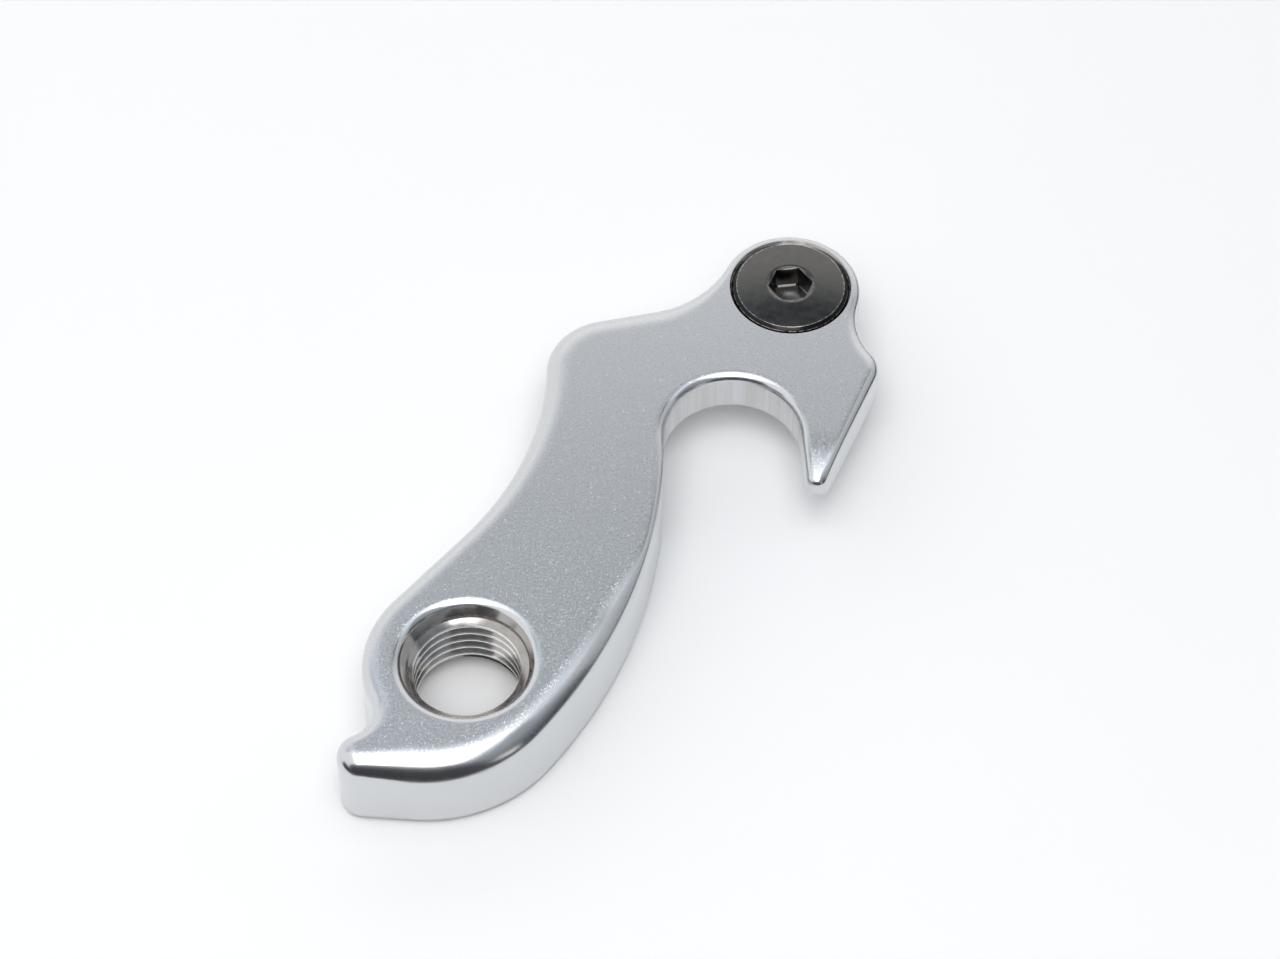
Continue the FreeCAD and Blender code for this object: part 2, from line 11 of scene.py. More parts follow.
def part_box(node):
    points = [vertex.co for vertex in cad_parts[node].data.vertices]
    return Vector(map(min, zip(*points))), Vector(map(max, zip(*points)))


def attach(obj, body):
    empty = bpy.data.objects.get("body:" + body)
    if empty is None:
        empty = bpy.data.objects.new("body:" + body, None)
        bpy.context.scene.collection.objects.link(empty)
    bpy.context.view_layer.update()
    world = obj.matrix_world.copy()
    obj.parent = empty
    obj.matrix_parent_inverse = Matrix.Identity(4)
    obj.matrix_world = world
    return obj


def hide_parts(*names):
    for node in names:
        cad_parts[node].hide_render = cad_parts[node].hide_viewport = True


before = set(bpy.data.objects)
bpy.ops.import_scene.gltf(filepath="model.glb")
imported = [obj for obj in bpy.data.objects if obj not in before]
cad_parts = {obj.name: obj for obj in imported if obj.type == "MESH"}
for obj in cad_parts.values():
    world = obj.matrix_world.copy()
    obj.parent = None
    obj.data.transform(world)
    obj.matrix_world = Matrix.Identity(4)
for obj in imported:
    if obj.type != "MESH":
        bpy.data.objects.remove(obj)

bl_info = {
    "name": "Derailleur Hanger",
    "version": (1, 0, 0),
    "blender": (4, 5, 0),
    "location": "View3D > Sidebar > Hanger",
    "description": "Skins, finishes and studio for a bicycle derailleur hanger and its screw",
    "category": "Object",
}

# Lengths are in metres. The origin is on the tapped hole's axis, level with the dropout face,
# +Z points out of the outer face, and the hanger rests on the underside of its leg.
MM = 0.001
FULL_TURN = 2 * math.pi
QUARTER_TURN = math.pi / 2

# An arc of the outline. Its turn is +1 where the outline bulges and -1 where it is hollow. The outer
# edge's rounding runs from one value to the other along the arc, between the two shares of its
# length. A straight arc is followed by a straight run, and any other touches the arc after it. The
# ease says how gently the rounding leaves the face: 1 is a circle, and more starts flatter.
Arc = namedtuple("Arc", "name x y radius turn rounding share straight ease")
WHOLE = (0.0, 1.0)
OUTLINE = (
    Arc("nub", -8.35, -8.65, 1.95, 1, (1.5, 1.5), WHOLE, True, (1, 1.3)),
    Arc("belly", -3.24, 1.72, 12.69, 1, (2.1, 2.1), WHOLE, False, (1.3, 1.3)),
    Arc("outer", -29.9691, 22.2607, 46.4, 1, (2.1, 0.75), (0.35, 0.65), False, (1.3, 1.3)),
    Arc("slot", 22.36, 23.74, 5.95, -1, (0.75, 0.75), WHOLE, True, (1.3, 1)),
    Arc("tip", 29.56, 19.49, 0.9, 1, (0.75, 0.75), WHOLE, True, (1, 1)),
    Arc("corner", 32.41, 31.17, 2.87, 1, (1.0, 1.0), WHOLE, False, (1, 1.8)),
    Arc("inner_neck", 39.9503, 36.6137, 6.43, -1, (1.0, 0.73), WHOLE, False, (1.8, 1)),
    Arc("eye", 27.76, 40.03, 6.23, 1, (0.73, 0.73), WHOLE, False, (1, 1)),
    Arc("outer_neck", 14.2451, 46.6747, 8.83, -1, (0.73, 1.5), WHOLE, True, (1, 1.8)),
    Arc("shoulder", 11.75, 31.29, 5.66, 1, (1.5, 1.5), WHOLE, False, (1.8, 1.8)),
    Arc("back", -23.1069, 31.7548, 29.2, -1, (1.5, 1.2), WHOLE, True, (1.8, 1.8)),
    Arc("boss", 0.86, 0.17, 9.5, 1, (1.2, 1.2), WHOLE, False, (1.8, 1.8)),
    Arc("notch", -10.1974, -4.5686, 2.53, -1, (1.2, 1.5), WHOLE, False, (1.8, 1)),
)

# Columns of an outline sample
PLACE, OUTWARD = slice(0, 2), slice(2, 4)
ROUNDING, EASE, UNDERSIDE = 4, 5, 6

# Material slots of the plate
FACE, CUT = range(2)

# How near two points are welded, and how near a place lies to be on the step's line
WELD, ON_LINE = 1e-8, 1e-9
# In a filled area: how far inside its border the first points lie and the gap that any point keeps
# from it, as shares of the spacing, and the gap below which two points are one, in millimetres
BORDER_INSET, BORDER_GAP, SAME_POINT = 0.2, 0.15, 1e-6
# Steps added up between two rows of the outer edge, and rounds in which its start is found
EDGE_SUMS, EDGE_ROUNDS = 8, 3
# A rounding underneath grows from nothing over this many times its radius
FADE = 4

# One turn of a thread and half of the next, as shares of the pitch and of the depth
THREAD_SHAPE = ((0.0, 0), (0.15, 0), (0.55, 1), (0.6, 1), (1.0, 0), (1.15, 0), (1.55, 1))
# Rounding of its corners, and the shares of the pitch at which a turn starts and ends
THREAD_ROUNDING, TURN_START, TURN_END = 0.05, 0.05, 1.05
# Slope at which the screw's thread becomes shallower towards its neck
RUN_OUT_SLOPE = 0.3

# How far the head's dulled edge lies inside the head radius and below the outer face, at the upper
# and at the lower end of that edge
EDGE_HIGH, EDGE_LOW = (0.00018, 0.00008), (0.00015, 0.0002)


def length(name, default, description):
    """Declare a length in metres."""
    return FloatProperty(name=name, default=default, description=description,
                         unit="LENGTH", subtype="DISTANCE", precision=6)


def angle(name, degrees, description):
    """Declare an angle."""
    return FloatProperty(name=name, default=math.radians(degrees), description=description,
                         unit="ROTATION", subtype="ANGLE")


def plain(name, default, description):
    """Declare a plain number."""
    return FloatProperty(name=name, default=default, description=description, precision=4)


def tone(name, default, description):
    """Declare a colour."""
    return FloatVectorProperty(name=name, default=default, description=description,
                               subtype="COLOR", size=3, min=0.0, max=1.0)


def whole(name, default, description):
    """Declare a whole number."""
    return IntProperty(name=name, default=default, description=description, min=1)


class HangerPlateSettings(bpy.types.PropertyGroup):
    thickness: length("Arm thickness", 0.004, "From the dropout face up to the outer face")
    leg_step: length("Leg step", 0.004, "How far the leg stands below the dropout face")
    step_distance: length("Step distance", 0.024, "From the tapped hole to the step's edge")
    step_slope: angle("Step slope", 48, "Way from the tapped hole to the step's edge, above X")
    step_root: length("Step root", 0.0005, "Rounding at the root of the step")
    edge_break: length("Edge break", 0.0002, "Rounding of the edges under the arm")
    foot_rounding: length("Foot rounding", 0.0008, "Rounding of the edge round the leg's underside")
    nose_start: length("Nose start", 0.02359, "Y at which the outer face starts to fall to the tip")
    nose_from: length("Nose side", 0.025, "X beyond which the outer face falls")
    nose_length: length("Nose length", 0.005, "Length of that fall")
    nose_drop: length("Nose drop", 0.0008, "Depth of that fall")
    lift_start: length("Lift start", 0.02159, "Y at which the dropout face starts to rise to the tip")
    lift_length: length("Lift length", 0.003, "Length of that rise")
    lift_rise: length("Lift rise", 0.0017, "Height of that rise")
    spacing: length("Spacing", 0.00014, "Distance between samples along the outline")
    fill_spacing: length("Fill spacing", 0.0006, "Distance between samples inside a flat area")
    edge_rows: whole("Edge rows", 16, "Steps round the outer edge")
    wall_rows: whole("Wall rows", 5, "Steps down a wall")
    root_rows: whole("Root rows", 5, "Steps round the step's root")
    foot_rows: whole("Foot rows", 8, "Steps round the edge of the leg's underside")
    back_rows: whole("Back rows", 3, "Steps round the edges under the arm")
    step_columns: whole("Step columns", 63, "Steps along the step's line")
    crease: angle("Crease angle", 28, "An edge that turns by more than this isn't smoothed")
    dark_grain: tone("Dark grain", (0.65, 0.67, 0.695), "Darker patches of the blasted faces")
    light_grain: tone("Light grain", (0.80, 0.805, 0.815), "Lighter patches of the blasted faces")
    # The fleck colour is a painted glint: bright specks standing in for light caught by the blasted facets
    glint_fleck: tone("Glint fleck", (0.95, 0.96, 0.97), "Bright specks on the blasted faces")
    polish: tone("Polish", (0.66, 0.67, 0.685), "Polished edges and walls")
    streak: tone("Streak", (0.59, 0.59, 0.58), "Cutter marks on the slot's wall")


class HangerThreadSettings(bpy.types.PropertyGroup):
    pitch: length("Pitch", 0.001, "Distance between the thread's turns")
    bore: length("Minor radius", 0.0044585, "To the crest of the thread")
    root: length("Root radius", 0.00498, "To the root of the thread")
    lip: length("Lip radius", 0.006352, "Where the outer face turns down into the hole")
    lip_rounding: length("Lip rounding", 0.00099, "Radius of that turn")
    lip_turn: angle("Lip turn", 48, "How far it turns before it meets the bore's mouth")
    mouth: length("Mouth", 0.0024, "From the dropout face to where the bore starts to open out")
    runout: length("Run-out", 0.0013, "Length over which the thread gains its full depth")
    lip_rows: whole("Lip rows", 10, "Steps round the lip")
    columns: whole("Columns", 192, "Steps round the bore")
    eye_x: length("Eye X", 0.02776, "Centre of the screw's hole")
    eye_y: length("Eye Y", 0.04003, "Centre of the screw's hole")
    eye_bore: length("Eye bore", 0.0032, "Radius of the screw's hole")
    eye_sink: length("Eye sink", 0.00542, "Rim of its countersink")
    # The bores' flanks are darkened with painted shade, and the thread's crest is a painted highlight
    painted_shade_dark_flank: tone("Dark flank", (0.32, 0.305, 0.29), "Darker patches in the bores")
    painted_shade_light_flank: tone("Light flank", (0.52, 0.505, 0.49), "Lighter patches in the bores")
    crest: tone("Crest", (0.95, 0.945, 0.94), "Crest of the tapped hole's thread")


class HangerScrewSettings(bpy.types.PropertyGroup):
    head: length("Head radius", 0.00532, "Widest part of the head, before its edge is dulled")
    top: length("Top radius", 0.00482, "Rim of the head's domed top")
    stand: length("Stand", 0.0005, "From the outer face up to the top's middle")
    dome: length("Dome", 0.0003, "How much lower the top's rim is than its middle")
    socket: length("Socket", 0.00175, "Half the hex socket's width across flats")
    socket_turn: angle("Socket turn", 7, "Turn of the hex socket about the screw's axis")
    socket_depth: length("Socket depth", 0.0024, "Depth of the socket")
    entry: length("Entry", 0.00204, "Radius of the bevel round the socket")
    dimple: length("Dimple", 0.0008, "Radius of the drill point in the socket's floor")
    dimple_depth: length("Dimple depth", 0.00035, "Depth of that drill point")
    neck: length("Neck", 0.0026, "Radius of the plain neck")
    neck_end: length("Neck end", 0.0042, "From the outer face down to the neck's end")
    shank: length("Shank", 0.003, "Outer radius of the thread")
    shank_root: length("Shank root", 0.00245, "Radius at the root of the thread")
    shank_end: length("Shank end", 0.0075, "From the outer face down to the screw's end")
    point: length("Point", 0.0006, "Chamfer at the screw's end")
    rim_rounding: length("Rim rounding", 0.00008, "Rounding of the top's rim")
    edge_rounding: length("Edge rounding", 0.00003, "Rounding of the head's edge")
    neck_rounding: length("Neck rounding", 0.0002, "Rounding where the head meets the neck")
    pitch: length("Pitch", 0.001, "Distance between the thread's turns")
    top_rows: whole("Top rows", 12, "Rings of points on the domed top")
    corner_rows: whole("Corner rows", 4, "Steps round a rounded corner")
    columns: whole("Columns", 192, "Steps round the screw")
    crease: angle("Crease angle", 32, "An edge that turns by more than this isn't smoothed")
    dark_black: tone("Dark black", (0.115, 0.112, 0.108), "Darker patches of the top")
    light_black: tone("Light black", (0.170, 0.166, 0.160), "Lighter patches of the top")
    # Painted shade: the black is made deeper below the top's rim and in the socket
    painted_shade_black: tone("Painted shade black", (0.025, 0.024, 0.023), "Below the top's rim and in the socket")
    # The rims are rubbed bright, and the socket's floor gets the same colour as a painted highlight
    wear_and_highlight: tone("Wear and highlight", (0.55, 0.54, 0.52), "Rims that are rubbed bright")


class HangerStudioSettings(bpy.types.PropertyGroup):
    lens: FloatProperty(name="Lens", default=98.4375, unit="CAMERA",
                        description="Focal length of the camera, in millimetres")
    tilt: angle("Tilt", 37, "Camera's turn up from straight down")
    camera_x: length("Camera X", 0.01434, "Place of the camera")
    camera_y: length("Camera Y", -0.16161, "Place of the camera")
    camera_z: length("Camera Z", 0.24299, "Place of the camera")
    softbox_power: FloatProperty(name="Softbox power", default=1.0, unit="POWER",
                                 description="Power of the large lamp overhead")
    fill_light: plain("Fill light", 0.74, "Brightness of the room, for all but the background")


# Shapes as numbers


def unit(vectors):
    """Scale vectors to length one."""
    return vectors / np.linalg.norm(vectors, axis=-1, keepdims=True)


def smooth_step(value, low, high):
    """Rise smoothly from 0 at low to 1 at high: t t (3 - 2 t)."""
    share = np.clip((value - low) / (high - low), 0, 1)
    return share * share * (3 - 2 * share)


def ring(radius, height, columns, centre=(0.0, 0.0), start=0.0):
    """Give a circle's points: centre + radius (cos a, sin a), at one height."""
    turn = start + FULL_TURN * np.arange(columns) / columns
    return np.stack([centre[0] + radius * np.cos(turn), centre[1] + radius * np.sin(turn),
                     np.broadcast_to(height, columns)], axis=-1)


def join_arcs(first, second):
    """Give where the outline leaves one arc and joins the next.

    With k = turn * radius and m the outline's left normal, an arc's centre is p + k m.
    Two arcs that touch: m = (c2 - c1) / (k2 - k1). A straight run heads along the line of centres
    less asin((k2 - k1) / |c2 - c1|)."""
    start, end = np.array([first.x, first.y]), np.array([second.x, second.y])
    bend_start, bend_end = first.turn * first.radius, second.turn * second.radius
    across = end - start
    if first.straight:
        way = math.atan2(across[1], across[0])
        way -= math.asin((bend_end - bend_start) / math.hypot(*across))
        left = np.array([-math.sin(way), math.cos(way)])
    else:
        left = across / (bend_end - bend_start)
        left /= math.hypot(*left)
    return start - left * bend_start, end - left * bend_end


def arc_samples(arc, start, end, spacing):
    """Sample an arc: centre + radius (cos a, sin a), its outward side, and the rounding there."""
    centre = np.array([arc.x, arc.y])
    first, last = (math.atan2(*(point - centre)[::-1]) for point in (start, end))
    sweep = (arc.turn * (last - first)) % FULL_TURN
    count = max(2, math.ceil(sweep * arc.radius / spacing))
    share = np.arange(count) / count
    turned = first + arc.turn * sweep * share
    radial = np.stack([np.cos(turned), np.sin(turned)], axis=-1)
    run = smooth_step(share, *arc.share) if arc.share != WHOLE else share
    rounding = arc.rounding[0] + (arc.rounding[1] - arc.rounding[0]) * run
    ease = arc.ease[0] + (arc.ease[1] - arc.ease[0]) * smooth_step(share, 0, 1)
    return np.column_stack([centre + arc.radius * radial, arc.turn * radial, rounding, ease])


def run_samples(start, end, low, high, spacing):
    """Sample a straight run: start + t (end - start), with the rounding and its ease running evenly."""
    across = end - start
    count = max(2, math.ceil(math.hypot(*across) / spacing))
    share = (np.arange(count) / count)[:, None]
    outward = np.array([across[1], -across[0]]) / math.hypot(*across)
    low, high = np.array(low), np.array(high)
    return np.column_stack([start + share * across, np.tile(outward, (count, 1)),
                            low + (high - low) * share])


def trace_outline(spacing):
    """Sample the plate's outline counter-clockwise: place, outward side, rounding and its ease, in metres."""
    joins = [join_arcs(arc, following) for arc, following in zip(OUTLINE, OUTLINE[1:] + OUTLINE[:1])]
    rows = []
    for index, arc in enumerate(OUTLINE):
        leave, join = joins[index]
        rows.append(arc_samples(arc, joins[index - 1][1], leave, spacing / MM))
        if arc.straight:
            following = OUTLINE[(index + 1) % len(OUTLINE)]
            low, high = (arc.rounding[1], arc.ease[1]), (following.rounding[0], following.ease[0])
            rows.append(run_samples(leave, join, low, high, spacing / MM))
    rows = np.concatenate(rows)
    rows[:, PLACE] *= MM
    rows[:, ROUNDING] *= MM
    return rows


def cut_outline(rows, across, distance, height):
    """Add a sample wherever the outline crosses the line place . across = distance."""
    side = rows[:, PLACE] @ across - distance
    following = np.roll(side, -1)
    found = np.flatnonzero(side * following < 0)
    share = (side[found] / (side[found] - following[found]))[:, None]
    added = rows[found] + share * (np.roll(rows, -1, axis=0)[found] - rows[found])
    added[:, OUTWARD] = unit(added[:, OUTWARD])
    added[:, UNDERSIDE] = height
    return np.insert(rows, found + 1, added, axis=0)


def inside(points, loop):
    """Say which points lie inside a closed loop, by counting crossings."""
    start, end = loop, np.roll(loop, -1, axis=0)
    x, y = points[:, :1], points[:, 1:2]
    spans = (start[:, 1] > y) != (end[:, 1] > y)
    rise = np.where(end[:, 1] == start[:, 1], 1, end[:, 1] - start[:, 1])
    crossing = start[:, 0] + (y - start[:, 1]) * (end[:, 0] - start[:, 0]) / rise
    return (np.count_nonzero(spans & (x < crossing), axis=1) % 2).astype(bool)


def fill_area(loops, spacing):
    """Triangulate the area inside the first loop and outside the others, with points inside it."""
    border = np.concatenate(loops)
    low, high = loops[0].min(axis=0), loops[0].max(axis=0)
    x, y = np.meshgrid(*(np.arange(a, b, spacing) for a, b in zip(low, high)))
    x[1::2] += spacing / 2
    inner = np.column_stack([x.ravel(), y.ravel()])
    close = []
    for loop in loops:
        way = unit(np.roll(loop, -1, axis=0) - np.roll(loop, 1, axis=0))
        left = np.column_stack([-way[:, 1], way[:, 0]])
        close.append(loop + left * spacing * (BORDER_INSET if loop is loops[0] else -BORDER_INSET))
    inner = np.concatenate([inner, *close])

    def within(points):
        kept = inside(points, loops[0])
        for hole in loops[1:]:
            kept &= ~inside(points, hole)
        return kept

    inner = inner[within(inner)]
    gap = np.array([np.min(np.sum((border - point) ** 2, axis=1)) for point in inner])
    inner = inner[gap > (BORDER_GAP * spacing) ** 2]
    points = np.concatenate([border, inner])
    edges, start = [], 0
    for loop in loops:
        index = start + np.arange(len(loop))
        edges += np.column_stack([index, np.roll(index, -1)]).tolist()
        start += len(loop)
    verts = [Vector(point) for point in (points / MM).tolist()]
    _, _, faces, origin, _, _ = delaunay_2d_cdt(verts, edges, [], 0, SAME_POINT, True)
    if any(len(each) == 0 for each in origin):
        raise RuntimeError("two edges of an area cross each other")
    origin = np.array([each[0] for each in origin])
    faces = origin[np.array(faces)]
    faces = faces[within(points[faces].mean(axis=1))]
    first, second, third = (points[faces[:, corner]] for corner in range(3))
    turned = np.cross(second - first, third - first)
    faces[turned < 0] = faces[turned < 0][:, ::-1]
    return points, faces


def round_corners(profile, radii, steps):
    """Round the corners of a profile: each becomes an arc that touches both of its sides."""
    profile = np.asarray(profile, float)
    rounded = [profile[:1]]
    for before, corner, after, radius in zip(profile, profile[1:], profile[2:], radii):
        back, ahead = unit(before - corner), unit(after - corner)
        half = math.acos(np.clip(back @ ahead, -1, 1)) / 2
        middle = unit(back + ahead)
        centre = corner + middle * radius / math.sin(half)
        reach = radius / math.tan(half)
        start, end = corner + back * reach - centre, corner + ahead * reach - centre
        share = np.linspace(0, 1, steps + 1)[:, None]
        rounded.append(centre + radius * unit(start + share * (end - start)))
    return np.concatenate([*rounded, profile[-1:]])


def turned_grid(profile, columns, centre=(0.0, 0.0)):
    """Turn a profile of (radius, height) rows about an upright axis: (r cos a, r sin a, z)."""
    return np.stack([ring(radius, height, columns, centre) for radius, height in profile])


def thread_grid(crest, root, pitch, low, high, columns, limits, centre=(0.0, 0.0), start=0.0):
    """Give a threaded surface: radius f((z + pitch a / 2 pi) / pitch) at angle a from the start.

    f follows THREAD_SHAPE from the crest's radius to the root's, with its corners rounded.
    limits(z) gives the least and the greatest radius at a height."""
    shape = round_corners(THREAD_SHAPE, [THREAD_ROUNDING] * (len(THREAD_SHAPE) - 2), steps=3)
    shape = shape[(shape[:, 0] > TURN_START) & (shape[:, 0] < TURN_END)]
    turns = math.ceil((high - low) / pitch) + 2
    phase = np.concatenate([shape[:, 0] + turn for turn in range(-1, turns)])
    rise = np.tile(shape[:, 1], turns + 1)
    turned = FULL_TURN * np.arange(columns + 1) / columns
    height = low + pitch * (phase[:, None] - turned / FULL_TURN)
    radius = np.broadcast_to((crest + (root - crest) * rise)[:, None], height.shape)
    order = np.argsort(-height[:, 0])
    height, radius = np.clip(height[order], low, high), radius[order]
    radius = np.clip(radius, *limits(height))
    x, y = radius * np.cos(start + turned), radius * np.sin(start + turned)
    return np.stack([centre[0] + x, centre[1] + y, height], axis=-1)


class Skin:
    """Collects patches of a surface and welds them into one closed mesh."""

    def __init__(self):
        self.points, self.triangles, self.materials, self.count = [], [], [], 0

    def add(self, points, triangles, material, flip=False):
        """Add triangles over points, wound counter-clockwise seen from outside unless flipped."""
        triangles = np.asarray(triangles)
        self.points.append(np.asarray(points, float).reshape(-1, 3))
        self.triangles.append((triangles[:, ::-1] if flip else triangles) + self.count)
        self.materials.append(np.full(len(triangles), material))
        self.count += len(self.points[-1])

    def add_grid(self, grid, material, closed=False, flip=False):
        """Add a grid of points, its rows going down and its columns to the right, seen from outside."""
        rows, columns = grid.shape[:2]
        index = np.arange(rows * columns).reshape(rows, columns)
        if closed:
            index = np.column_stack([index, index[:, 0]])
        a, b, c, d = index[:-1, :-1], index[:-1, 1:], index[1:, 1:], index[1:, :-1]
        quads = [np.stack(corners, axis=-1).reshape(-1, 3) for corners in ((a, d, c), (a, c, b))]
        self.add(grid, np.concatenate(quads), material, flip)

    def build(self, name, sharp):
        """Weld equal points, drop collapsed triangles, and return the object."""
        points, triangles = np.concatenate(self.points), np.concatenate(self.triangles)
        materials = np.concatenate(self.materials)
        keys = np.round(points / WELD).astype(np.int64)
        _, first, same = np.unique(keys, axis=0, return_index=True, return_inverse=True)
        triangles = same.reshape(-1)[triangles]
        a, b, c = triangles.T
        kept = (a != b) & (b != c) & (c != a)
        mesh = bpy.data.meshes.new(name)
        mesh.from_pydata(points[first].tolist(), [], triangles[kept].tolist())
        mesh.polygons.foreach_set("material_index", materials[kept].astype(np.int32))
        mesh.shade_smooth()
        mesh.set_sharp_from_angle(angle=sharp)
        mesh.update()
        if mesh.validate():
            raise RuntimeError(f"{name} had faulty faces")
        piece = bpy.data.objects.new(name, mesh)
        bpy.context.scene.collection.objects.link(piece)
        return piece


# The plate


def tip_slope(size, place, start, length, change):
    """Give how far a face has moved at the hook's tip, and how steeply along Y.

    Past the start it moves along an arc: R - sqrt(R^2 - d^2), d being the way past it."""
    bend = (length ** 2 + change ** 2) / (2 * change)
    past = np.where(place[..., 0] > size.nose_from, np.clip(start - place[..., 1], 0, None), 0)
    root = np.sqrt(bend * bend - past * past)
    return bend - root, past / root


def face_height(size, place):
    """Give the outer face's height, and how steeply it rises along Y."""
    fall, rise = tip_slope(size, place, size.nose_start, size.nose_length, size.nose_drop)
    return size.thickness - fall, rise


def back_height(size, place):
    """Give the dropout face's height."""
    return tip_slope(size, place, size.lift_start, size.lift_length, size.lift_rise)[0]


def face_normal(rise):
    """Give the outer face's normal where it rises by that much along Y."""
    return unit(np.stack([np.zeros_like(rise), -rise, np.ones_like(rise)], axis=-1))


def rolled_edge(size, rows):
    """Round the outer edge, turning from face to wall: at the share u of its length by turn * u ^ ease.

    Place and drop are the sums of cos and sin of that turn, scaled so that a quarter turn drops by
    the rounding. With an ease of 1 that is a circle."""
    share = np.linspace(0, 1, size.edge_rows * EDGE_SUMS + 1)[:, None]
    middles = (share[1:] + share[:-1]) / 2
    wall = np.column_stack([rows[:, OUTWARD], np.zeros(len(rows))])
    quarter = np.sin(QUARTER_TURN * middles ** rows[:, EASE]).sum(axis=0)
    quarter_step = rows[:, ROUNDING] / quarter
    touch = rows[:, PLACE] - rows[:, ROUNDING, None] * rows[:, OUTWARD]
    # The face slopes at the tip, so the place where the edge leaves it is found in rounds
    for _ in range(EDGE_ROUNDS):
        level, rise = face_height(size, touch)
        top = face_normal(rise)
        square = unit(wall - np.sum(wall * top, axis=1, keepdims=True) * top)
        turn = np.arccos(np.sum(wall * top, axis=1))
        step = quarter_step * turn / QUARTER_TURN
        turned = turn * middles ** rows[:, EASE]
        out, down = (np.insert(np.cumsum(way(turned) * step, axis=0), 0, 0, axis=0)[::EDGE_SUMS]
                     for way in (np.cos, np.sin))
        moved = out[..., None] * square - down[..., None] * top
        touch = rows[:, PLACE] - moved[-1, :, :2]
    grid = np.column_stack([touch, level]) + moved
    grid[-1, :, :2] = rows[:, PLACE]
    return grid


def wall_grid(place, top, bottom, rows):
    """Give an upright wall over an outline: z = top + t (bottom - top)."""
    share = np.linspace(0, 1, rows + 1)[:, None]
    height = top + share * (bottom - top)
    grid = np.empty((rows + 1, len(place), 3))
    grid[..., :2] = place
    grid[..., 2] = height
    return grid


def broken_edge(place, inward, bottom, amount, steps):
    """Round an edge underneath: in by b (1 - cos a), down by b sin a, from the wall to the flat."""
    turned = np.linspace(0, QUARTER_TURN, steps + 1)[:, None, None]
    amount = np.broadcast_to(amount, len(place))[:, None]
    grid = np.empty((steps + 1, len(place), 3))
    grid[..., :2] = place + inward * amount * (1 - np.cos(turned))
    grid[..., 2] = np.broadcast_to(bottom, len(place)) + (amount * (1 - np.sin(turned)))[..., 0]
    return grid


def step_line(start, end, columns):
    """Sample the step's straight line: start + t (end - start), its end being exact."""
    share = np.linspace(0, 1, columns + 1)[:, None]
    line = start + share * (end - start)
    line[-1] = end
    return line


def side_samples(size, across, reach, depth):
    """Sample the outline from the step's line on, and say where the leg ends and where the arm is.

    Reach and depth are the rows of the step's root: how far from the tapped hole, and how low."""
    rows = trace_outline(size.spacing)
    rows = np.column_stack([rows, np.zeros(len(rows))])
    distance = rows[:, PLACE] @ across
    rows[distance < reach[0], UNDERSIDE] = depth[0]
    rows = rows[(distance <= reach[0]) | (distance >= reach[-1])]
    for level, height in zip(reach, depth):
        rows = cut_outline(rows, across, level, height)
    on_step = np.flatnonzero(np.abs(rows[:, PLACE] @ across - reach[0]) < ON_LINE)
    past = np.roll(rows[:, PLACE] @ across, -1)[on_step]
    rows = np.roll(rows, -on_step[np.argmin(past)], axis=0)
    count, steps = len(rows), len(reach) - 1
    leg_end = int(np.flatnonzero(np.abs(rows[1:, PLACE] @ across - reach[0]) < ON_LINE)[0]) + 1
    arm = slice(leg_end + steps, count - steps + 1)
    rows[arm, UNDERSIDE] = back_height(size, rows[arm, PLACE])
    return rows, leg_end, arm


def add_leg(skin, size, foot, across, top, hole):
    """Add the leg's sides below the step, the rounding of their lower edge, and the underside."""
    line = step_line(foot[-1, PLACE], foot[0, PLACE], size.step_columns)
    bottom = -size.leg_step
    inward = np.concatenate([-foot[:, OUTWARD], np.tile(-across, (len(line) - 2, 1))])
    loop = np.concatenate([foot[:, PLACE], line[1:-1]])
    ends = np.stack([foot[0, PLACE], foot[-1, PLACE]])
    near = np.min(np.linalg.norm(loop[:, None] - ends, axis=2), axis=1)
    rounding = np.where(np.arange(len(loop)) < len(foot), size.foot_rounding, size.edge_break)
    rounding = rounding * smooth_step(near, 0, FADE * rounding)
    on_line = np.concatenate([rounding[len(foot) - 1:], rounding[:1]])
    for place, amount in ((foot[:, PLACE], rounding[:len(foot)]), (line, on_line)):
        skin.add_grid(wall_grid(place, top, bottom + amount, size.wall_rows), FACE)
    under = broken_edge(loop, inward, bottom, rounding, size.foot_rows)
    skin.add_grid(under, FACE, closed=True)
    points, triangles = fill_area([under[-1, :, :2], hole], size.fill_spacing)
    skin.add(np.column_stack([points, np.full(len(points), bottom)]), triangles, FACE, flip=True)


def add_back(skin, size, rows, leg_end, arm, rounding, depth, hole):
    """Add the step's root and the arm's back, with the rounding of its edges."""
    root = []
    for step, height in enumerate(depth):
        line = step_line(rows[leg_end + step, PLACE], rows[-step, PLACE], size.step_columns)
        root.append(np.column_stack([line, np.full(len(line), height)]))
    skin.add_grid(np.stack(root), FACE, flip=True)
    back = rows[arm]
    under = broken_edge(back[:, PLACE], -back[:, OUTWARD], back[:, UNDERSIDE], rounding, size.back_rows)
    skin.add_grid(under, FACE)
    border = np.concatenate([under[-1], root[-1][1:-1][::-1]])
    points, triangles = fill_area([border[:, :2], hole], size.fill_spacing)
    height = back_height(size, points)
    height[:len(border)] = border[:, 2]
    skin.add(np.column_stack([points, height]), triangles, FACE, flip=True)


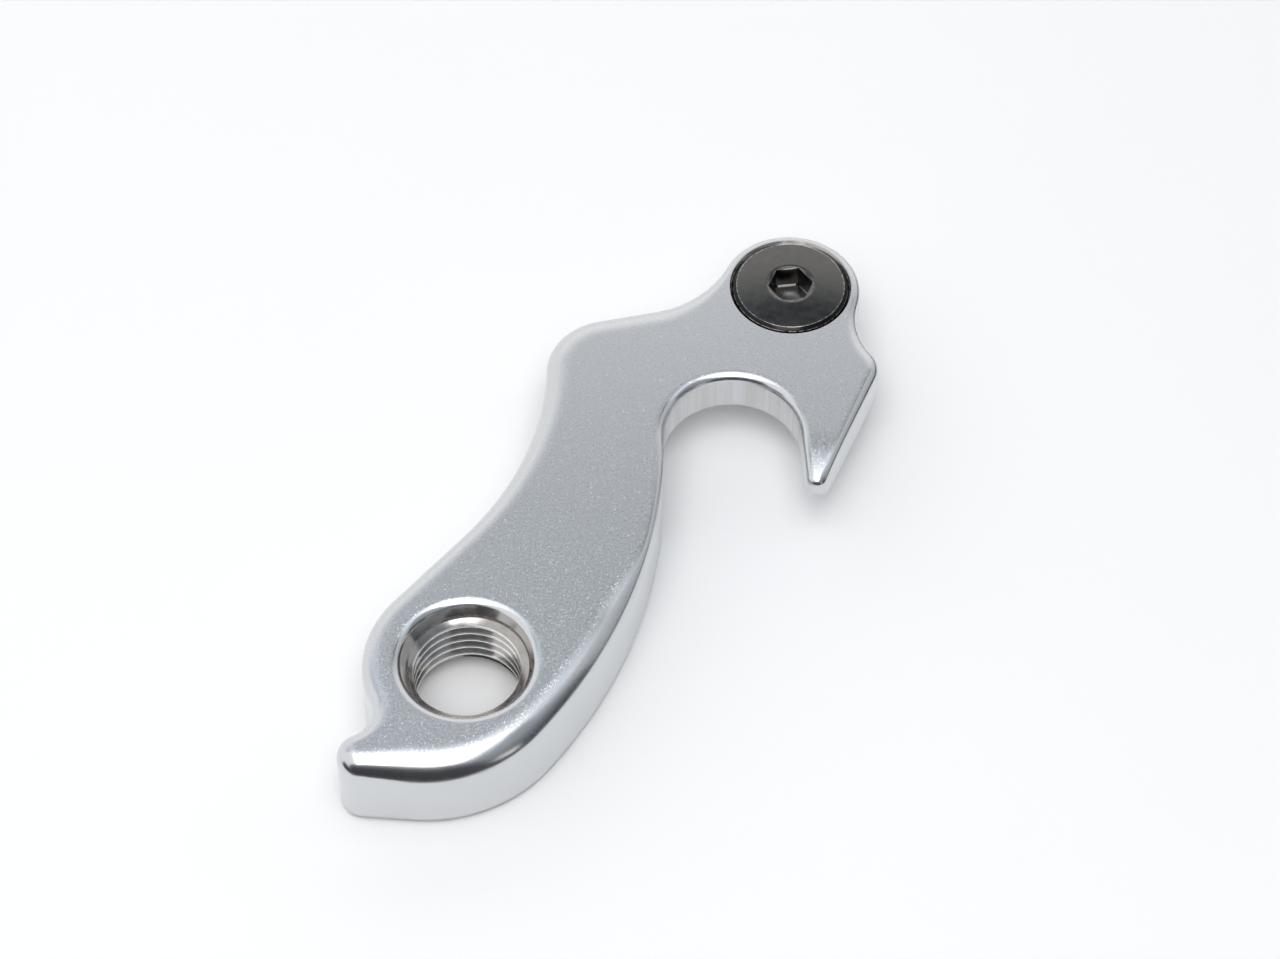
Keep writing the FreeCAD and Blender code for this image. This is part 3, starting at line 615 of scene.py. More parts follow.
def add_walls(skin, size, holes):
    """Add the edge, the walls, the leg and the arm's back, and give the outer face's border.

    The step's root is a quarter circle: out by r (1 - cos a), down by r (1 - sin a)."""
    across = np.array([math.cos(size.step_slope), math.sin(size.step_slope)])
    turned = np.linspace(0, QUARTER_TURN, size.root_rows + 1)
    reach = size.step_distance + size.step_root * (1 - np.cos(turned))
    depth = -size.step_root * (1 - np.sin(turned))
    rows, leg_end, arm = side_samples(size, across, reach, depth)
    edge = rolled_edge(size, rows)
    skin.add_grid(edge, FACE, closed=True)

    along = rows[:, PLACE] @ across
    rounding = np.zeros(len(rows))
    rounding[arm] = size.edge_break * smooth_step(along[arm], reach[-1], reach[-1] + FADE * size.edge_break)
    wall = wall_grid(rows[:, PLACE], edge[-1, :, 2], rows[:, UNDERSIDE] + rounding, size.wall_rows)
    wall[0] = edge[-1]
    skin.add_grid(wall, FACE, closed=True)
    add_leg(skin, size, rows[:leg_end + 1], across, depth[0], holes["exit"])
    add_back(skin, size, rows, leg_end, arm, rounding[arm], depth, holes["eye"])
    return edge[0]


def add_bores(skin, size, bore):
    """Add the tapped hole and the screw's hole, and give their rims as rings seen from above."""
    top, bottom = size.thickness, -size.leg_step
    turned = np.linspace(0, bore.lip_turn, bore.lip_rows + 1)
    lip = np.column_stack([bore.lip - bore.lip_rounding * np.sin(turned),
                           top - bore.lip_rounding * (1 - np.cos(turned))])
    low_lip = (0, top + bottom) + lip[::-1] * (1, -1)
    for profile in (lip, low_lip):
        skin.add_grid(turned_grid(profile, bore.columns), FACE, closed=True, flip=True)
    high, low = lip[-1, 1], low_lip[0, 1]

    def limits(height):
        share = np.clip(np.minimum(high - height, height - low) / bore.runout, 0, 1)
        return bore.root + share * (bore.bore - bore.root), np.full_like(height, bore.lip)

    # The thread runs out into the bore's mouth, which opens to the lip
    thread = thread_grid(bore.bore, bore.root, bore.pitch, low, high, bore.columns, limits)
    past = np.clip((np.abs(thread[..., 2]) - bore.mouth) / (high - bore.mouth), 0, 1)
    opening = (lip[-1, 0] - bore.root) * past
    radius = np.linalg.norm(thread[..., :2], axis=-1)
    thread[..., :2] *= (1 + opening / radius)[..., None]
    for row, level in ((0, high), (-1, low)):
        end = ring(lip[-1, 0], level, bore.columns)
        thread[row] = np.vstack([end, end[:1]])
    skin.add_grid(thread, CUT, flip=True)

    slope_end = top - (bore.eye_sink - bore.eye_bore)
    profile = [(bore.eye_sink, top), (bore.eye_bore, slope_end), (bore.eye_bore, 0.0)]
    eye = turned_grid(profile, bore.columns // 2, (bore.eye_x, bore.eye_y))
    skin.add_grid(eye, CUT, closed=True, flip=True)
    rim = ring(*lip[0], bore.columns)[:, :2]
    return {"tap": rim, "sink": eye[0, :, :2], "exit": rim, "eye": eye[-1, :, :2]}


def build_plate(size, bore):
    """Build the plate's skin as one closed mesh, from the outline and the edge's rounding."""
    skin = Skin()
    holes = add_bores(skin, size, bore)
    border = add_walls(skin, size, holes)
    points, triangles = fill_area([border[:, :2], holes["tap"], holes["sink"]], size.fill_spacing)
    height, _ = face_height(size, points)
    height[:len(border)] = border[:, 2]
    skin.add(np.column_stack([points, height]), triangles, FACE)
    return skin.build("hanger_skin", size.crease)


# The screw


def build_screw(size, bore, level):
    """Build the screw: a turned profile with a thread, and a hex socket sunk into its domed top.

    The socket's radius at angle a is h / cos(a'), a' being the angle from the nearest flat's
    middle; its entry is bevelled down to that radius, and its floor falls to a drill point."""
    skin = Skin()
    columns = size.columns
    centre = (bore.eye_x, bore.eye_y)
    side = FULL_TURN / 6
    from_flat = FULL_TURN * np.arange(columns) / columns % side - side / 2
    hexagon = size.socket / np.cos(from_flat)

    def place(radius, height):
        return ring(radius, level + height, columns, centre, size.socket_turn)

    def domed(radius):
        return size.stand - size.dome * (radius / size.top) ** 2

    floor = size.stand - size.socket_depth
    wall_top = domed(size.entry) - np.maximum(size.entry - hexagon, 0) / 2
    top_end, rim = size.top - 1.5 * size.rim_rounding, domed(size.top)
    rows = [place(0.0, floor - size.dimple_depth), place(size.dimple, floor)]
    rows += [place(size.dimple + share * (hexagon - size.dimple), floor) for share in (0.5, 1.0)]
    rows += [place(hexagon, floor + share * (wall_top - floor)) for share in (0.5, 1.0)]
    rows += [place(radius, domed(radius)) for radius in np.linspace(size.entry, top_end, size.top_rows)]
    edge_high, edge_low = ((size.head - inset, -drop) for inset, drop in (EDGE_HIGH, EDGE_LOW))
    cone_end = (size.neck, edge_low[1] - (edge_low[0] - size.neck))
    profile = [(top_end, rim), (size.top, rim), edge_high, edge_low, cone_end, (size.neck, -size.neck_end)]
    roundings = [size.rim_rounding, size.edge_rounding, size.edge_rounding, size.neck_rounding]
    rows += [place(*row) for row in round_corners(profile, roundings, size.corner_rows)[1:]]
    skin.add_grid(np.stack(rows), 0, closed=True, flip=True)

    high, low = level - size.neck_end, level - size.shank_end
    point = size.shank - size.point

    def limits(height):
        start, end = size.neck + (high - height), point + (height - low)
        return size.neck - RUN_OUT_SLOPE * (high - height), np.minimum(start, end)

    thread = thread_grid(size.shank, size.shank_root, size.pitch, low, high, columns, limits, centre,
                         size.socket_turn)
    first, last = place(size.neck, -size.neck_end), place(point, -size.shank_end)
    thread[0], thread[-1] = (np.vstack([end, end[:1]]) for end in (first, last))
    skin.add_grid(thread, 0)
    skin.add_grid(np.stack([last, place(0.0, -size.shank_end)]), 0, closed=True)
    return skin.build("screw_skin", size.crease)


# Finishes

# Space between nodes in the editor, and how far a bump's full height reaches, in metres
NODE_SPACING, BUMP_DEPTH = 220, 0.00001
# The middle of a noise's range, over which patches change, and a value that falls over its range
PATCHES, FALLING = (0.3, 0.7), (1.0, 0.0)

# Roughness of each finish from one kind of patch to the other, and what a fleck, which also carries a painted
# glint, adds to it
FACE_ROUGHNESS, FLECK_ROUGHNESS, POLISH_ROUGHNESS = (0.27, 0.35), -0.06, (0.18, 0.24)
BORE_ROUGHNESS, SCREW_ROUGHNESS = (0.10, 0.20), (0.15, 0.22)
# Stretch of the cutter marks and of the rings in the bores, along each axis
COARSE_MARKS, FINE_MARKS, RINGS = (900.0, 900.0, 12.0), (3200.0, 3200.0, 40.0), (300.0, 300.0, 9000.0)
# The slot's wall has cutter marks out to between these distances from the slot's centre
SLOT_REACH = (0.0074, 0.009)
# The painted highlight on the tapped hole's thread crest ends between these radii
CREST_HIGHLIGHT_REACH = (0.00449, 0.00459)
# Widths over which the top's rim, the head's edge and the socket's entry are rubbed bright
RIM_RUB, EDGE_RUB, ENTRY_RUB = 0.00006, 0.00004, 0.00007
# How bright at most the entry, the socket's floor with its painted highlight and any rubbed place become
ENTRY_WEAR, FLOOR_HIGHLIGHT, MOST_WEAR_AND_HIGHLIGHT = 0.35, 0.8, 0.8
# From the top's radius outwards, where the black becomes deeper with painted shade
RIM_SHADE_REACH = (0.00001, 0.00005)
# Heights from the outer face between which a place stops or starts to count as above the head's edge, on the
# top, on the socket's wall, where the painted shade starts, and on the socket's floor, which gets a painted
# highlight
EDGE_HEIGHTS, TOP_HEIGHTS = (-0.0002, -0.0001), (0.0002, 0.0003)
WALL_HEIGHTS, FLOOR_HIGHLIGHT_HEIGHTS = (0.0001, 0.00042), (-0.0018, -0.0017)

VALUE, VECTOR = "NodeSocketFloat", "NodeSocketVector"


class Nodes:
    """Adds and links nodes in a tree, left to right."""

    def __init__(self, tree):
        self.tree = tree
        self.tree.nodes.clear()

    def add(self, kind, inputs=(), **settings):
        """Add a node, set its properties, and give its inputs numbers or other nodes' outputs."""
        node = self.tree.nodes.new(kind)
        node.location.x = NODE_SPACING * len(self.tree.nodes)
        for key, value in settings.items():
            setattr(node, key, value)
        for key, value in dict(inputs).items():
            if isinstance(value, bpy.types.NodeSocket):
                self.tree.links.new(value, node.inputs[key])
            else:
                node.inputs[key].default_value = value
        return node

    def group(self, name, make, **inputs):
        """Add a shared group, made the first time it is used, and give its outputs."""
        tree = bpy.data.node_groups.get(name) or make(name)
        return self.add("ShaderNodeGroup", inputs, node_tree=tree).outputs

    def math(self, operation, *values):
        """Add a math node and give its result."""
        return self.add("ShaderNodeMath", enumerate(values), operation=operation).outputs[0]

    def product(self, first, second):
        """Multiply two values."""
        return self.math("MULTIPLY", first, second)

    def vector(self, operation, *values):
        """Add a vector math node and give its result."""
        return self.add("ShaderNodeVectorMath", enumerate(values), operation=operation).outputs[0]

    def span(self, value, within, to=(0.0, 1.0), kind="SMOOTHSTEP"):
        """Map a value from one range to another, smoothly, and hold it at both ends."""
        inputs = {"Value": value, "From Min": within[0], "From Max": within[1],
                  "To Min": to[0], "To Max": to[1]}
        return self.add("ShaderNodeMapRange", inputs, interpolation_type=kind).outputs["Result"]

    def blend(self, share, low, high):
        """Run from one number to another."""
        inputs = {"Factor": share, 2: low, 3: high}
        return self.add("ShaderNodeMix", inputs, data_type="FLOAT").outputs[0]

    def mix(self, share, low, high):
        """Run from one colour to another."""
        low, high = (each if isinstance(each, bpy.types.NodeSocket) else (*each, 1.0) for each in (low, high))
        return self.add("ShaderNodeMix", {"Factor": share, 6: low, 7: high}, data_type="RGBA").outputs[2]

    def noise(self, place, scale, detail, rough):
        """Add a noise texture and give its value."""
        inputs = {"Vector": place, "Scale": scale, "Detail": detail, "Roughness": rough}
        return self.add("ShaderNodeTexNoise", inputs).outputs["Fac"]

    def stretched_noise(self, place, stretch, detail):
        """Add a noise that is stretched by a different amount along each axis."""
        place = self.add("ShaderNodeMapping", {"Vector": place, "Scale": stretch}).outputs["Vector"]
        return self.noise(place, scale=1.0, detail=detail, rough=0.6)

    def parts(self, vector):
        """Give a vector's three parts."""
        return self.add("ShaderNodeSeparateXYZ", {0: vector}).outputs

    def radius_and_height(self, place):
        """Give a place's distance from the Z axis, sqrt(x x + y y), and its height."""
        parts = self.parts(place)
        square = self.math("ADD", *(self.product(parts[axis], parts[axis]) for axis in "XY"))
        return self.math("SQRT", square), parts["Z"]

    def metal(self, colour, rough, **bump):
        """Finish a metal with a colour, a roughness and a bump."""
        bump = self.add("ShaderNodeBump", {"Distance": BUMP_DEPTH, **bump}).outputs[0]
        inputs = {"Base Color": colour, "Roughness": rough, "Normal": bump, "Metallic": 1.0}
        self.surface(self.add("ShaderNodeBsdfPrincipled", inputs))

    def glow(self, colour, strength):
        """Finish a card that shines."""
        self.surface(self.add("ShaderNodeEmission", {"Color": colour, "Strength": strength}))

    def surface(self, shader):
        """Make a shader the material's surface."""
        self.add("ShaderNodeOutputMaterial", {"Surface": shader.outputs[0]})


def new_group(name, inputs, outputs):
    """Start a shader node group with named sockets, and give it with its nodes."""
    group = bpy.data.node_groups.new(name, "ShaderNodeTree")
    for label, kind, default in inputs:
        socket = group.interface.new_socket(label, in_out="INPUT", socket_type=kind)
        if default is not None:
            socket.default_value = default
    for label, kind in outputs:
        group.interface.new_socket(label, in_out="OUTPUT", socket_type=kind)
    nodes = Nodes(group)
    return group, nodes, nodes.add("NodeGroupInput").outputs


def grain_group(name):
    """Blasted grain: a fine mottle, and scattered facets that lean towards -Y and catch the light."""
    group, nodes, given = new_group(
        name,
        [("Place", VECTOR, None), ("Scale", VALUE, 15000.0), ("Share", VALUE, 0.10), ("Lean", VALUE, 0.15)],
        [("Normal", VECTOR), ("Glint fleck", VALUE), ("Mottle", VALUE)])
    cells = nodes.add("ShaderNodeTexVoronoi", {"Vector": given["Place"], "Scale": given["Scale"]}).outputs
    colour = nodes.add("ShaderNodeSeparateColor", {"Color": cells["Color"]}).outputs
    chosen = nodes.math("LESS_THAN", colour["Red"], given["Share"])
    round_cell = nodes.span(cells["Distance"], (0.25, 0.5), FALLING)
    glint_fleck = nodes.product(chosen, round_cell)
    normal = nodes.add("ShaderNodeTexCoord").outputs["Normal"]
    world = nodes.add("ShaderNodeVectorTransform", {"Vector": normal}, vector_type="NORMAL",
                      convert_from="OBJECT", convert_to="WORLD").outputs[0]
    # A cell's colour runs from 0 to 1, so less this it points to -Y and a little to either side
    spread = nodes.vector("SUBTRACT", cells["Color"], (0.5, 2.0, 0.5))
    amount = nodes.product(given["Lean"], glint_fleck)
    lean = nodes.add("ShaderNodeVectorMath", {0: spread, 3: amount}, operation="SCALE").outputs[0]
    facet = nodes.vector("NORMALIZE", nodes.vector("ADD", world, lean))
    mottle = nodes.noise(given["Place"], scale=5000.0, detail=3.0, rough=0.6)
    nodes.add("NodeGroupOutput", {"Normal": facet, "Glint fleck": glint_fleck, "Mottle": mottle})
    return group


def level_group(name):
    """How level the surface is, 1 on a flat face and 0 where its edge turns down, and how upright."""
    group, nodes, given = new_group(
        name, [("Edge", VALUE, 0.91), ("Flat", VALUE, 0.988)], [("Level", VALUE), ("Upright", VALUE)])
    normal = nodes.add("ShaderNodeTexCoord").outputs["Normal"]
    steep = nodes.math("ABSOLUTE", nodes.parts(normal)["Z"])
    level = nodes.span(steep, (given["Edge"], given["Flat"]))
    upright = nodes.span(steep, (0.05, 0.3), FALLING)
    nodes.add("NodeGroupOutput", {"Level": level, "Upright": upright})
    return group


def tool_mark_group(name):
    """Cutter marks on upright walls: bands of different width, even from top to bottom."""
    group, nodes, given = new_group(name, [("Place", VECTOR, None)], [("Marks", VALUE)])
    coarse = nodes.stretched_noise(given["Place"], COARSE_MARKS, detail=2.0)
    fine = nodes.stretched_noise(given["Place"], FINE_MARKS, detail=3.0)
    marks = nodes.math("ADD", nodes.product(coarse, 0.6), nodes.product(fine, 0.4))
    nodes.add("NodeGroupOutput", {"Marks": marks})
    return group


def new_material(name, colour):
    """Start a material, and give it with its nodes and its place in the object."""
    material = bpy.data.materials.new(name)
    material.use_nodes = True
    material.diffuse_color = (*colour, 1.0)
    nodes = Nodes(material.node_tree)
    place = nodes.add("ShaderNodeTexCoord").outputs["Object"]
    return material, nodes, place


def plate_finish(size):
    """Blasted aluminium: satin with scattered specks painted bright as glints on the faces, polished round
    its edges.
    """
    material, nodes, place = new_material("plate_satin", (0.78, 0.80, 0.82))
    level = nodes.group("Level", level_group)
    grain = nodes.group("Blasted grain", grain_group, Place=place)
    marks = nodes.group("Cutter marks", tool_mark_group, Place=place)["Marks"]
    face, upright = level["Level"], level["Upright"]
    mottle, glint_fleck = grain["Mottle"], grain["Glint fleck"]
    satin = nodes.span(mottle, PATCHES, FACE_ROUGHNESS)
    satin = nodes.math("ADD", satin, nodes.product(glint_fleck, FLECK_ROUGHNESS))
    patches = nodes.noise(place, scale=260.0, detail=3.0, rough=0.6)
    rough = nodes.blend(face, nodes.span(patches, PATCHES, POLISH_ROUGHNESS), satin)

    blasted = nodes.mix(mottle, size.dark_grain, size.light_grain)
    # Painted glint: the flecks on the faces are mixed towards a bright colour, as light caught by their
    # facets
    blasted = nodes.mix(nodes.product(glint_fleck, face), blasted, size.glint_fleck)
    slot = next(arc for arc in OUTLINE if arc.name == "slot")
    from_slot = nodes.add("ShaderNodeVectorMath", {0: place, 1: (slot.x * MM, slot.y * MM, 0.0)},
                          operation="DISTANCE").outputs["Value"]
    milled = nodes.product(nodes.span(from_slot, SLOT_REACH, FALLING), upright)
    streaks = nodes.product(nodes.span(marks, (0.58, 0.42)), milled)
    colour = nodes.mix(face, nodes.mix(streaks, size.polish, size.streak), blasted)

    ridges = nodes.product(nodes.product(marks, upright), 5.0)
    height = nodes.math("ADD", nodes.product(mottle, face), ridges)
    nodes.metal(colour, rough, Height=height, Strength=0.5, Normal=grain["Normal"])
    return material


def cut_finish(bore):
    """Bare cut aluminium in the bores: patches darkened with painted shade, a painted highlight on the
    thread's crest, and fine tool rings.
    """
    material, nodes, place = new_material("bore_painted_shade_and_highlight", (0.86, 0.86, 0.86))
    rings = nodes.stretched_noise(place, RINGS, detail=2.0)
    patches = nodes.noise(place, scale=900.0, detail=2.0, rough=0.5)
    radius, _ = nodes.radius_and_height(place)
    # Painted highlight along the thread's crest, over flanks darkened with painted shade
    crest = nodes.span(radius, CREST_HIGHLIGHT_REACH, FALLING)
    colour = nodes.mix(crest, nodes.mix(patches, bore.painted_shade_dark_flank, bore.painted_shade_light_flank), bore.crest)
    nodes.metal(colour, nodes.span(patches, PATCHES, BORE_ROUGHNESS), Height=rings, Strength=0.35)
    return material


def screw_finish(size, bore, level):
    """Blackened steel: satin black, rubbed bright in places along the head's two rims and the socket's, with
    painted shade below the top's rim and in the socket and a painted highlight on the socket's floor.
    """
    material, nodes, place = new_material("screw_black", (0.06, 0.06, 0.06))
    about = nodes.vector("ADD", place, (-bore.eye_x, -bore.eye_y, -level))
    radius, height = nodes.radius_and_height(about)

    def near(middle, width):
        """Give 1 near a radius, falling to 0 at that width to either side of it."""
        away = nodes.math("ABSOLUTE", nodes.math("SUBTRACT", radius, middle))
        return nodes.span(away, (0.4 * width, width), FALLING)

    rim, edge = near(size.top - RIM_RUB / 2, RIM_RUB), near(size.head - EDGE_HIGH[0], EDGE_RUB)
    rims = nodes.product(nodes.math("MAXIMUM", rim, edge), nodes.span(height, EDGE_HEIGHTS))
    entry = nodes.product(near(size.entry, ENTRY_RUB), nodes.span(height, TOP_HEIGHTS))
    rub = nodes.span(nodes.noise(place, scale=2400.0, detail=3.0, rough=0.7), (0.38, 0.62))
    wear_and_highlight = nodes.product(nodes.math("MAXIMUM", rims, nodes.product(entry, ENTRY_WEAR)), rub)
    # Painted highlight on the socket's floor and drill point
    floor_highlight = nodes.product(nodes.span(height, FLOOR_HIGHLIGHT_HEIGHTS, FALLING),
                            nodes.math("LESS_THAN", radius, size.socket * 1.1))
    wear_and_highlight = nodes.math("MAXIMUM", wear_and_highlight, nodes.product(floor_highlight, FLOOR_HIGHLIGHT))

    mottle = nodes.noise(place, scale=1500.0, detail=4.0, rough=0.6)
    # Painted shade below the top's rim and in the socket, where the black is made deeper
    rim_shade = nodes.span(radius, [size.top + past for past in RIM_SHADE_REACH])
    socket_shade = nodes.product(nodes.math("LESS_THAN", radius, size.entry),
                              nodes.span(height, WALL_HEIGHTS, FALLING))
    black = nodes.mix(mottle, size.dark_black, size.light_black)
    black = nodes.mix(nodes.math("MAXIMUM", rim_shade, socket_shade), black, size.painted_shade_black)
    colour = nodes.mix(nodes.product(wear_and_highlight, MOST_WEAR_AND_HIGHLIGHT), black, size.wear_and_highlight)
    nodes.metal(colour, nodes.span(mottle, PATCHES, SCREW_ROUGHNESS), Height=mottle, Strength=0.5)
    return material


# The studio

# The cards are hidden from the camera and show in the metal. First the planes that most of them lie
# in, then how far the back and the roof reach to either side, and where the roof and its slope end
RIGHT, BACK, FRONT, ROOF = 0.30, 0.22, -0.45, 0.41
SIDE, ROOF_FRONT, SLOPE_LOW, SLOPE_TOP = 0.45, 0.02, 0.30, 0.155
# Upright cards: each stands on the floor between two places, up to its top, and its glow runs from
# one strength to another between two heights
Card = namedtuple("Card", "name start end top colour heights glow")
CARDS = (
    Card("card_right", (RIGHT, FRONT), (RIGHT, 0.0), 0.30, (0.85, 0.92, 1.0), (-0.02, 0.32), (0.06, 0.42)),
    Card("card_right_back", (RIGHT, 0.0), (RIGHT, BACK), 0.30, (0.93, 0.97, 1.0), (0.0, 0.30), (0.55, 0.75)),
    Card("card_front", (-0.5, FRONT), (RIGHT, FRONT), 0.44, (0.90, 0.94, 1.0), (0.14, 0.44), (0.07, 0.22)),
    Card("card_strip", (0.295, -0.34), (0.295, -0.20), 0.14, (1.0, 1.0, 1.0), (0.06, 0.14), (1.0, 0.3)),
    Card("card_left", (-0.30, FRONT), (-0.30, -0.07), 0.10, (0.92, 0.96, 1.0), (0.02, 0.10), (0.06, 0.30)),
)
# Level cards just above the floor, between two corners: painted shade, dark sheets that the metal mirrors in
# place of the shaded floor
PAINTED_SHADE_CARDS = (
    ("card_painted_shade_front", (-0.5, FRONT), (RIGHT, -0.021)),
    ("card_painted_shade_right", (0.055, -0.021), (RIGHT, BACK)),
)
SHADE_CARD_COLOUR, SHADE_CARD_GLOW, SHADE_CARD_HEIGHT = (1.0, 0.93, 1.0), 0.06, 0.0005
FLOOR_COLOUR, FLOOR_REACH = (0.965, 0.965, 0.965), 2.0
SOFTBOX_SIZE, SOFTBOX_PLACE = (0.30, 0.37), (0.0, -0.165, 0.40)


def floor_paper():
    """Matt paper, faintly mottled."""
    material, nodes, place = new_material("floor_paper", FLOOR_COLOUR)
    grain = nodes.noise(place, scale=40.0, detail=2.0, rough=0.5)
    shade = nodes.mix(grain, [0.985 * part for part in FLOOR_COLOUR], FLOOR_COLOUR)
    inputs = {"Base Color": shade, "Roughness": 0.9, "Specular IOR Level": 0.1}
    nodes.surface(nodes.add("ShaderNodeBsdfPrincipled", inputs))
    return material


def card_glow(name, colour, axis, reach, strengths):
    """A card's glow, which runs from one strength to another along an axis."""
    material, nodes, place = new_material(name, colour)
    nodes.glow((*colour, 1.0), nodes.span(nodes.parts(place)[axis], reach, strengths))
    return material


def back_card_glow():
    """A glow that is white low down and dimmer at the right, and bluish and bright at the left high up."""
    material, nodes, place = new_material("card_back", (0.93, 0.97, 1.0))
    parts = nodes.parts(place)
    low = nodes.span(parts["X"], (0.13, 0.25), (1.0, 0.75))
    left = nodes.span(parts["X"], (-0.20, -0.06), (2.0, 1.0))
    high = nodes.product(left, nodes.span(parts["X"], (-0.10, 0.05), (0.40, 0.14)))
    height = nodes.span(parts["Z"], (0.15, 0.33))
    shine = nodes.blend(height, low, high)
    nodes.glow(nodes.mix(height, (1.0, 0.99, 0.985), (0.76, 0.86, 0.96)), shine)
    return material


def add_card(name, corners, material, hidden=True):
    """Add a flat card to the studio from its four corners."""
    mesh = bpy.data.meshes.new(name)
    mesh.from_pydata(corners, [], [(0, 1, 2, 3)])
    mesh.materials.append(material)
    card = bpy.data.objects.new(name, mesh)
    card.visible_camera = not hidden
    bpy.context.scene.collection.objects.link(card)
    return card


def upright_card(name, start, end, low, high, material):
    """Add a card that stands on the line between two places, from one height to another."""
    return add_card(name, [(*start, low), (*end, low), (*end, high), (*start, high)], material)


def level_card(name, low, high, height, material, hidden=True):
    """Add a card that lies level between two corners."""
    corners = (low, (high[0], low[1]), high, (low[0], high[1]))
    return add_card(name, [(*corner, height) for corner in corners], material, hidden)


def make_world(strength):
    """Light the room evenly, and show it white to the eye and in shiny surfaces."""
    world = bpy.data.worlds.new("studio")
    bpy.context.scene.world = world
    world.use_nodes = True
    nodes = Nodes(world.node_tree)
    path = nodes.add("ShaderNodeLightPath").outputs
    seen = nodes.math("MAXIMUM", nodes.math("MAXIMUM", path["Is Camera Ray"], path["Is Glossy Ray"]),
                      path["Is Transmission Ray"])
    level = nodes.span(seen, (0.0, 1.0), (strength, 1.0), "LINEAR")
    shine = nodes.add("ShaderNodeBackground", {"Color": (1.0, 1.0, 1.0, 1.0), "Strength": level})
    nodes.add("ShaderNodeOutputWorld", {"Surface": shine.outputs[0]})


def add_cards(floor_level):
    """Add the floor and the cards that the metal mirrors."""
    level_card("floor", (-FLOOR_REACH, -FLOOR_REACH), (FLOOR_REACH, FLOOR_REACH), floor_level,
               floor_paper(), hidden=False)
    upright_card("card_back", (-SIDE, BACK), (SIDE, BACK), floor_level, ROOF, back_card_glow())
    roof = card_glow("card_roof", (0.88, 0.94, 1.0), "Y", (0.11, 0.20), (1.15, 0.36))
    level_card("card_roof", (-SIDE, ROOF_FRONT), (SIDE, BACK), ROOF, roof)
    glows = {}
    for card in CARDS:
        glows[card.name] = card_glow(card.name, card.colour, "Z", card.heights, card.glow)
        upright_card(card.name, card.start, card.end, floor_level, card.top, glows[card.name])
    slope = [(RIGHT, FRONT, SLOPE_LOW), (RIGHT, ROOF_FRONT, SLOPE_LOW),
             (SLOPE_TOP, ROOF_FRONT, ROOF), (SLOPE_TOP, FRONT, ROOF)]
    add_card("card_right_roof", slope, glows["card_right"])
    # The low cards are painted shade: they only show in the metal, as the shaded floor near the plate, and
    # neither light nor shade anything
    shade_card_glow, nodes, _ = new_material("card_painted_shade", SHADE_CARD_COLOUR)
    nodes.glow((*SHADE_CARD_COLOUR, 1.0), SHADE_CARD_GLOW)
    for name, low, high in PAINTED_SHADE_CARDS:
        card = level_card(name, low, high, floor_level + SHADE_CARD_HEIGHT, shade_card_glow)
        card.visible_diffuse = card.visible_shadow = False


def build_studio(studio):
    """Add the floor, the cards, the lamp, the room's light and the camera."""
    add_cards(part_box("hanger_plate")[0].z)

    lamp = bpy.data.lights.new("softbox", "AREA")
    lamp.shape = "RECTANGLE"
    lamp.size, lamp.size_y = SOFTBOX_SIZE
    lamp.energy = studio.softbox_power
    softbox = bpy.data.objects.new("softbox", lamp)
    softbox.location = SOFTBOX_PLACE
    softbox.visible_camera = False
    bpy.context.scene.collection.objects.link(softbox)

    make_world(studio.fill_light)

    lens = bpy.data.cameras.new("camera")
    lens.lens = studio.lens
    lens.clip_start, lens.clip_end = 0.01, 10.0
    camera = bpy.data.objects.new("camera", lens)
    camera.location = (studio.camera_x, studio.camera_y, studio.camera_z)
    camera.rotation_euler = (studio.tilt, 0.0, 0.0)
    bpy.context.scene.collection.objects.link(camera)
    bpy.context.scene.camera = camera
    bpy.context.scene.view_settings.view_transform = "Standard"


# Operators, panel and registration


class HangerOperator(bpy.types.Operator):
    bl_options = {"REGISTER", "UNDO"}


class HANGER_OT_plate(HangerOperator):
    """Build the hanger's plate, with its tapped hole"""
    bl_idname = "hanger.plate"
    bl_label = "Build Plate"

    def execute(self, context):
        scene = context.scene
        piece = build_plate(scene.hanger_plate, scene.hanger_thread)
        piece.data.materials.append(plate_finish(scene.hanger_plate))
        piece.data.materials.append(cut_finish(scene.hanger_thread))
        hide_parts("hanger_plate")
        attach(piece, "root")
        return {"FINISHED"}


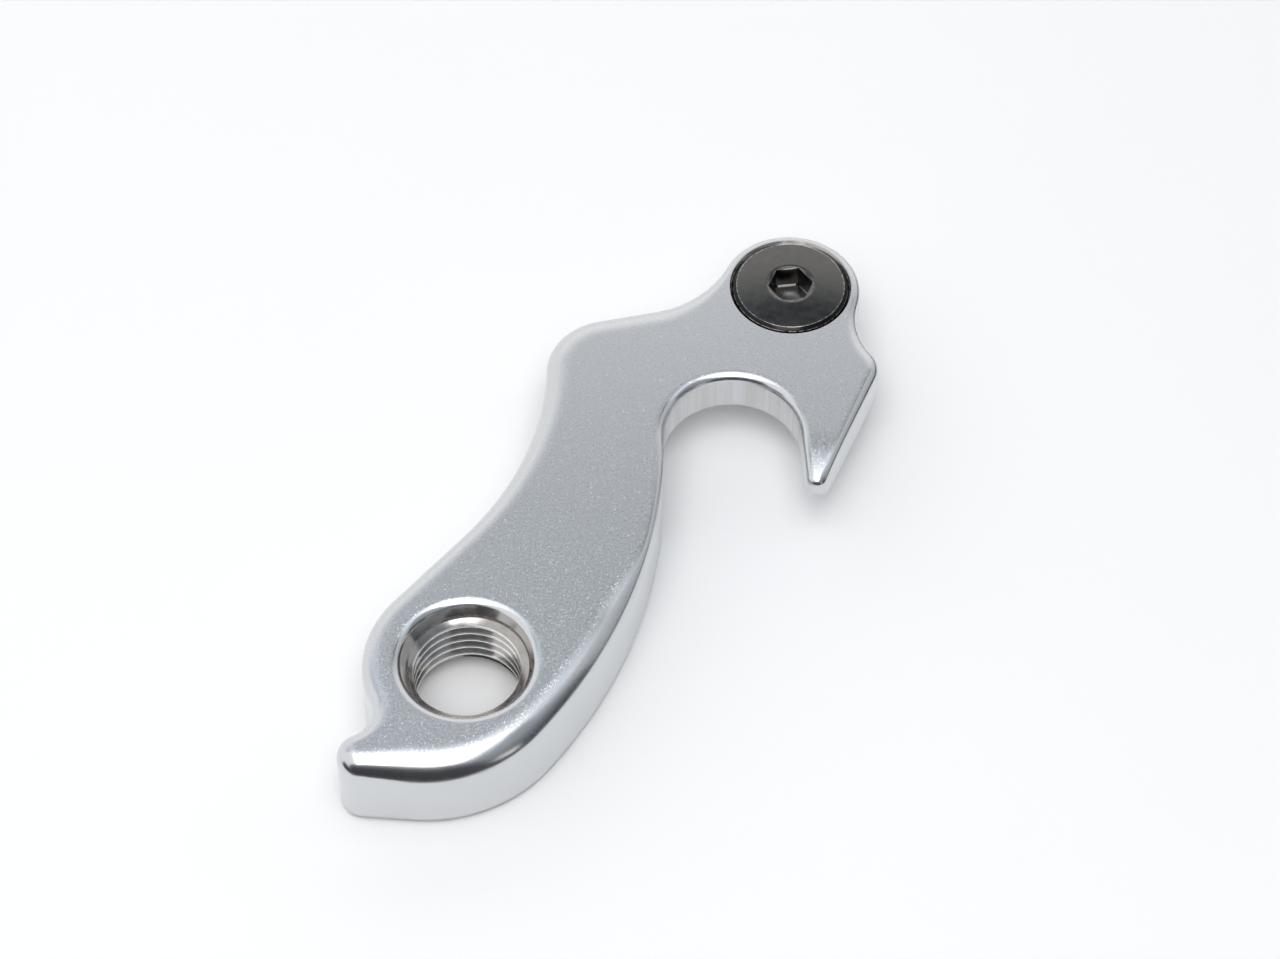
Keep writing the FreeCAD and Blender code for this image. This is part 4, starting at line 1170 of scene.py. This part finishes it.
class HANGER_OT_screw(HangerOperator):
    """Build the screw that fixes the hanger"""
    bl_idname = "hanger.screw"
    bl_label = "Build Screw"

    def execute(self, context):
        scene = context.scene
        level = scene.hanger_plate.thickness
        piece = build_screw(scene.hanger_screw, scene.hanger_thread, level)
        piece.data.materials.append(screw_finish(scene.hanger_screw, scene.hanger_thread, level))
        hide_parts("mounting_screw")
        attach(piece, "root")
        return {"FINISHED"}


class HANGER_OT_studio(HangerOperator):
    """Add the floor, the light and the camera"""
    bl_idname = "hanger.studio"
    bl_label = "Build Studio"

    def execute(self, context):
        build_studio(context.scene.hanger_studio)
        return {"FINISHED"}


class HANGER_PT_panel(bpy.types.Panel):
    """Builds the hanger and shows its sizes"""
    bl_idname = "HANGER_PT_panel"
    bl_label = "Derailleur Hanger"
    bl_space_type = "VIEW_3D"
    bl_region_type = "UI"
    bl_category = "Hanger"

    def draw(self, context):
        for operator, groups in (("hanger.plate", ("hanger_plate", "hanger_thread")),
                                 ("hanger.screw", ("hanger_screw",)),
                                 ("hanger.studio", ("hanger_studio",))):
            box = self.layout.box()
            box.operator(operator)
            for group in groups:
                settings = getattr(context.scene, group)
                for name in settings.__annotations__:
                    box.prop(settings, name)


GROUPS = {
    "hanger_plate": HangerPlateSettings,
    "hanger_thread": HangerThreadSettings,
    "hanger_screw": HangerScrewSettings,
    "hanger_studio": HangerStudioSettings,
}
CLASSES = (*GROUPS.values(), HANGER_OT_plate, HANGER_OT_screw, HANGER_OT_studio, HANGER_PT_panel)


def register():
    for each in CLASSES:
        bpy.utils.register_class(each)
    for name, group in GROUPS.items():
        setattr(bpy.types.Scene, name, PointerProperty(type=group))


def unregister():
    for name in GROUPS:
        delattr(bpy.types.Scene, name)
    for each in reversed(CLASSES):
        bpy.utils.unregister_class(each)


def main():
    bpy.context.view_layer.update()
    register()
    for operator in (bpy.ops.hanger.plate, bpy.ops.hanger.screw, bpy.ops.hanger.studio):
        if operator() != {"FINISHED"}:
            raise RuntimeError("an operator did not finish")


if __name__ == "__main__":
    main()
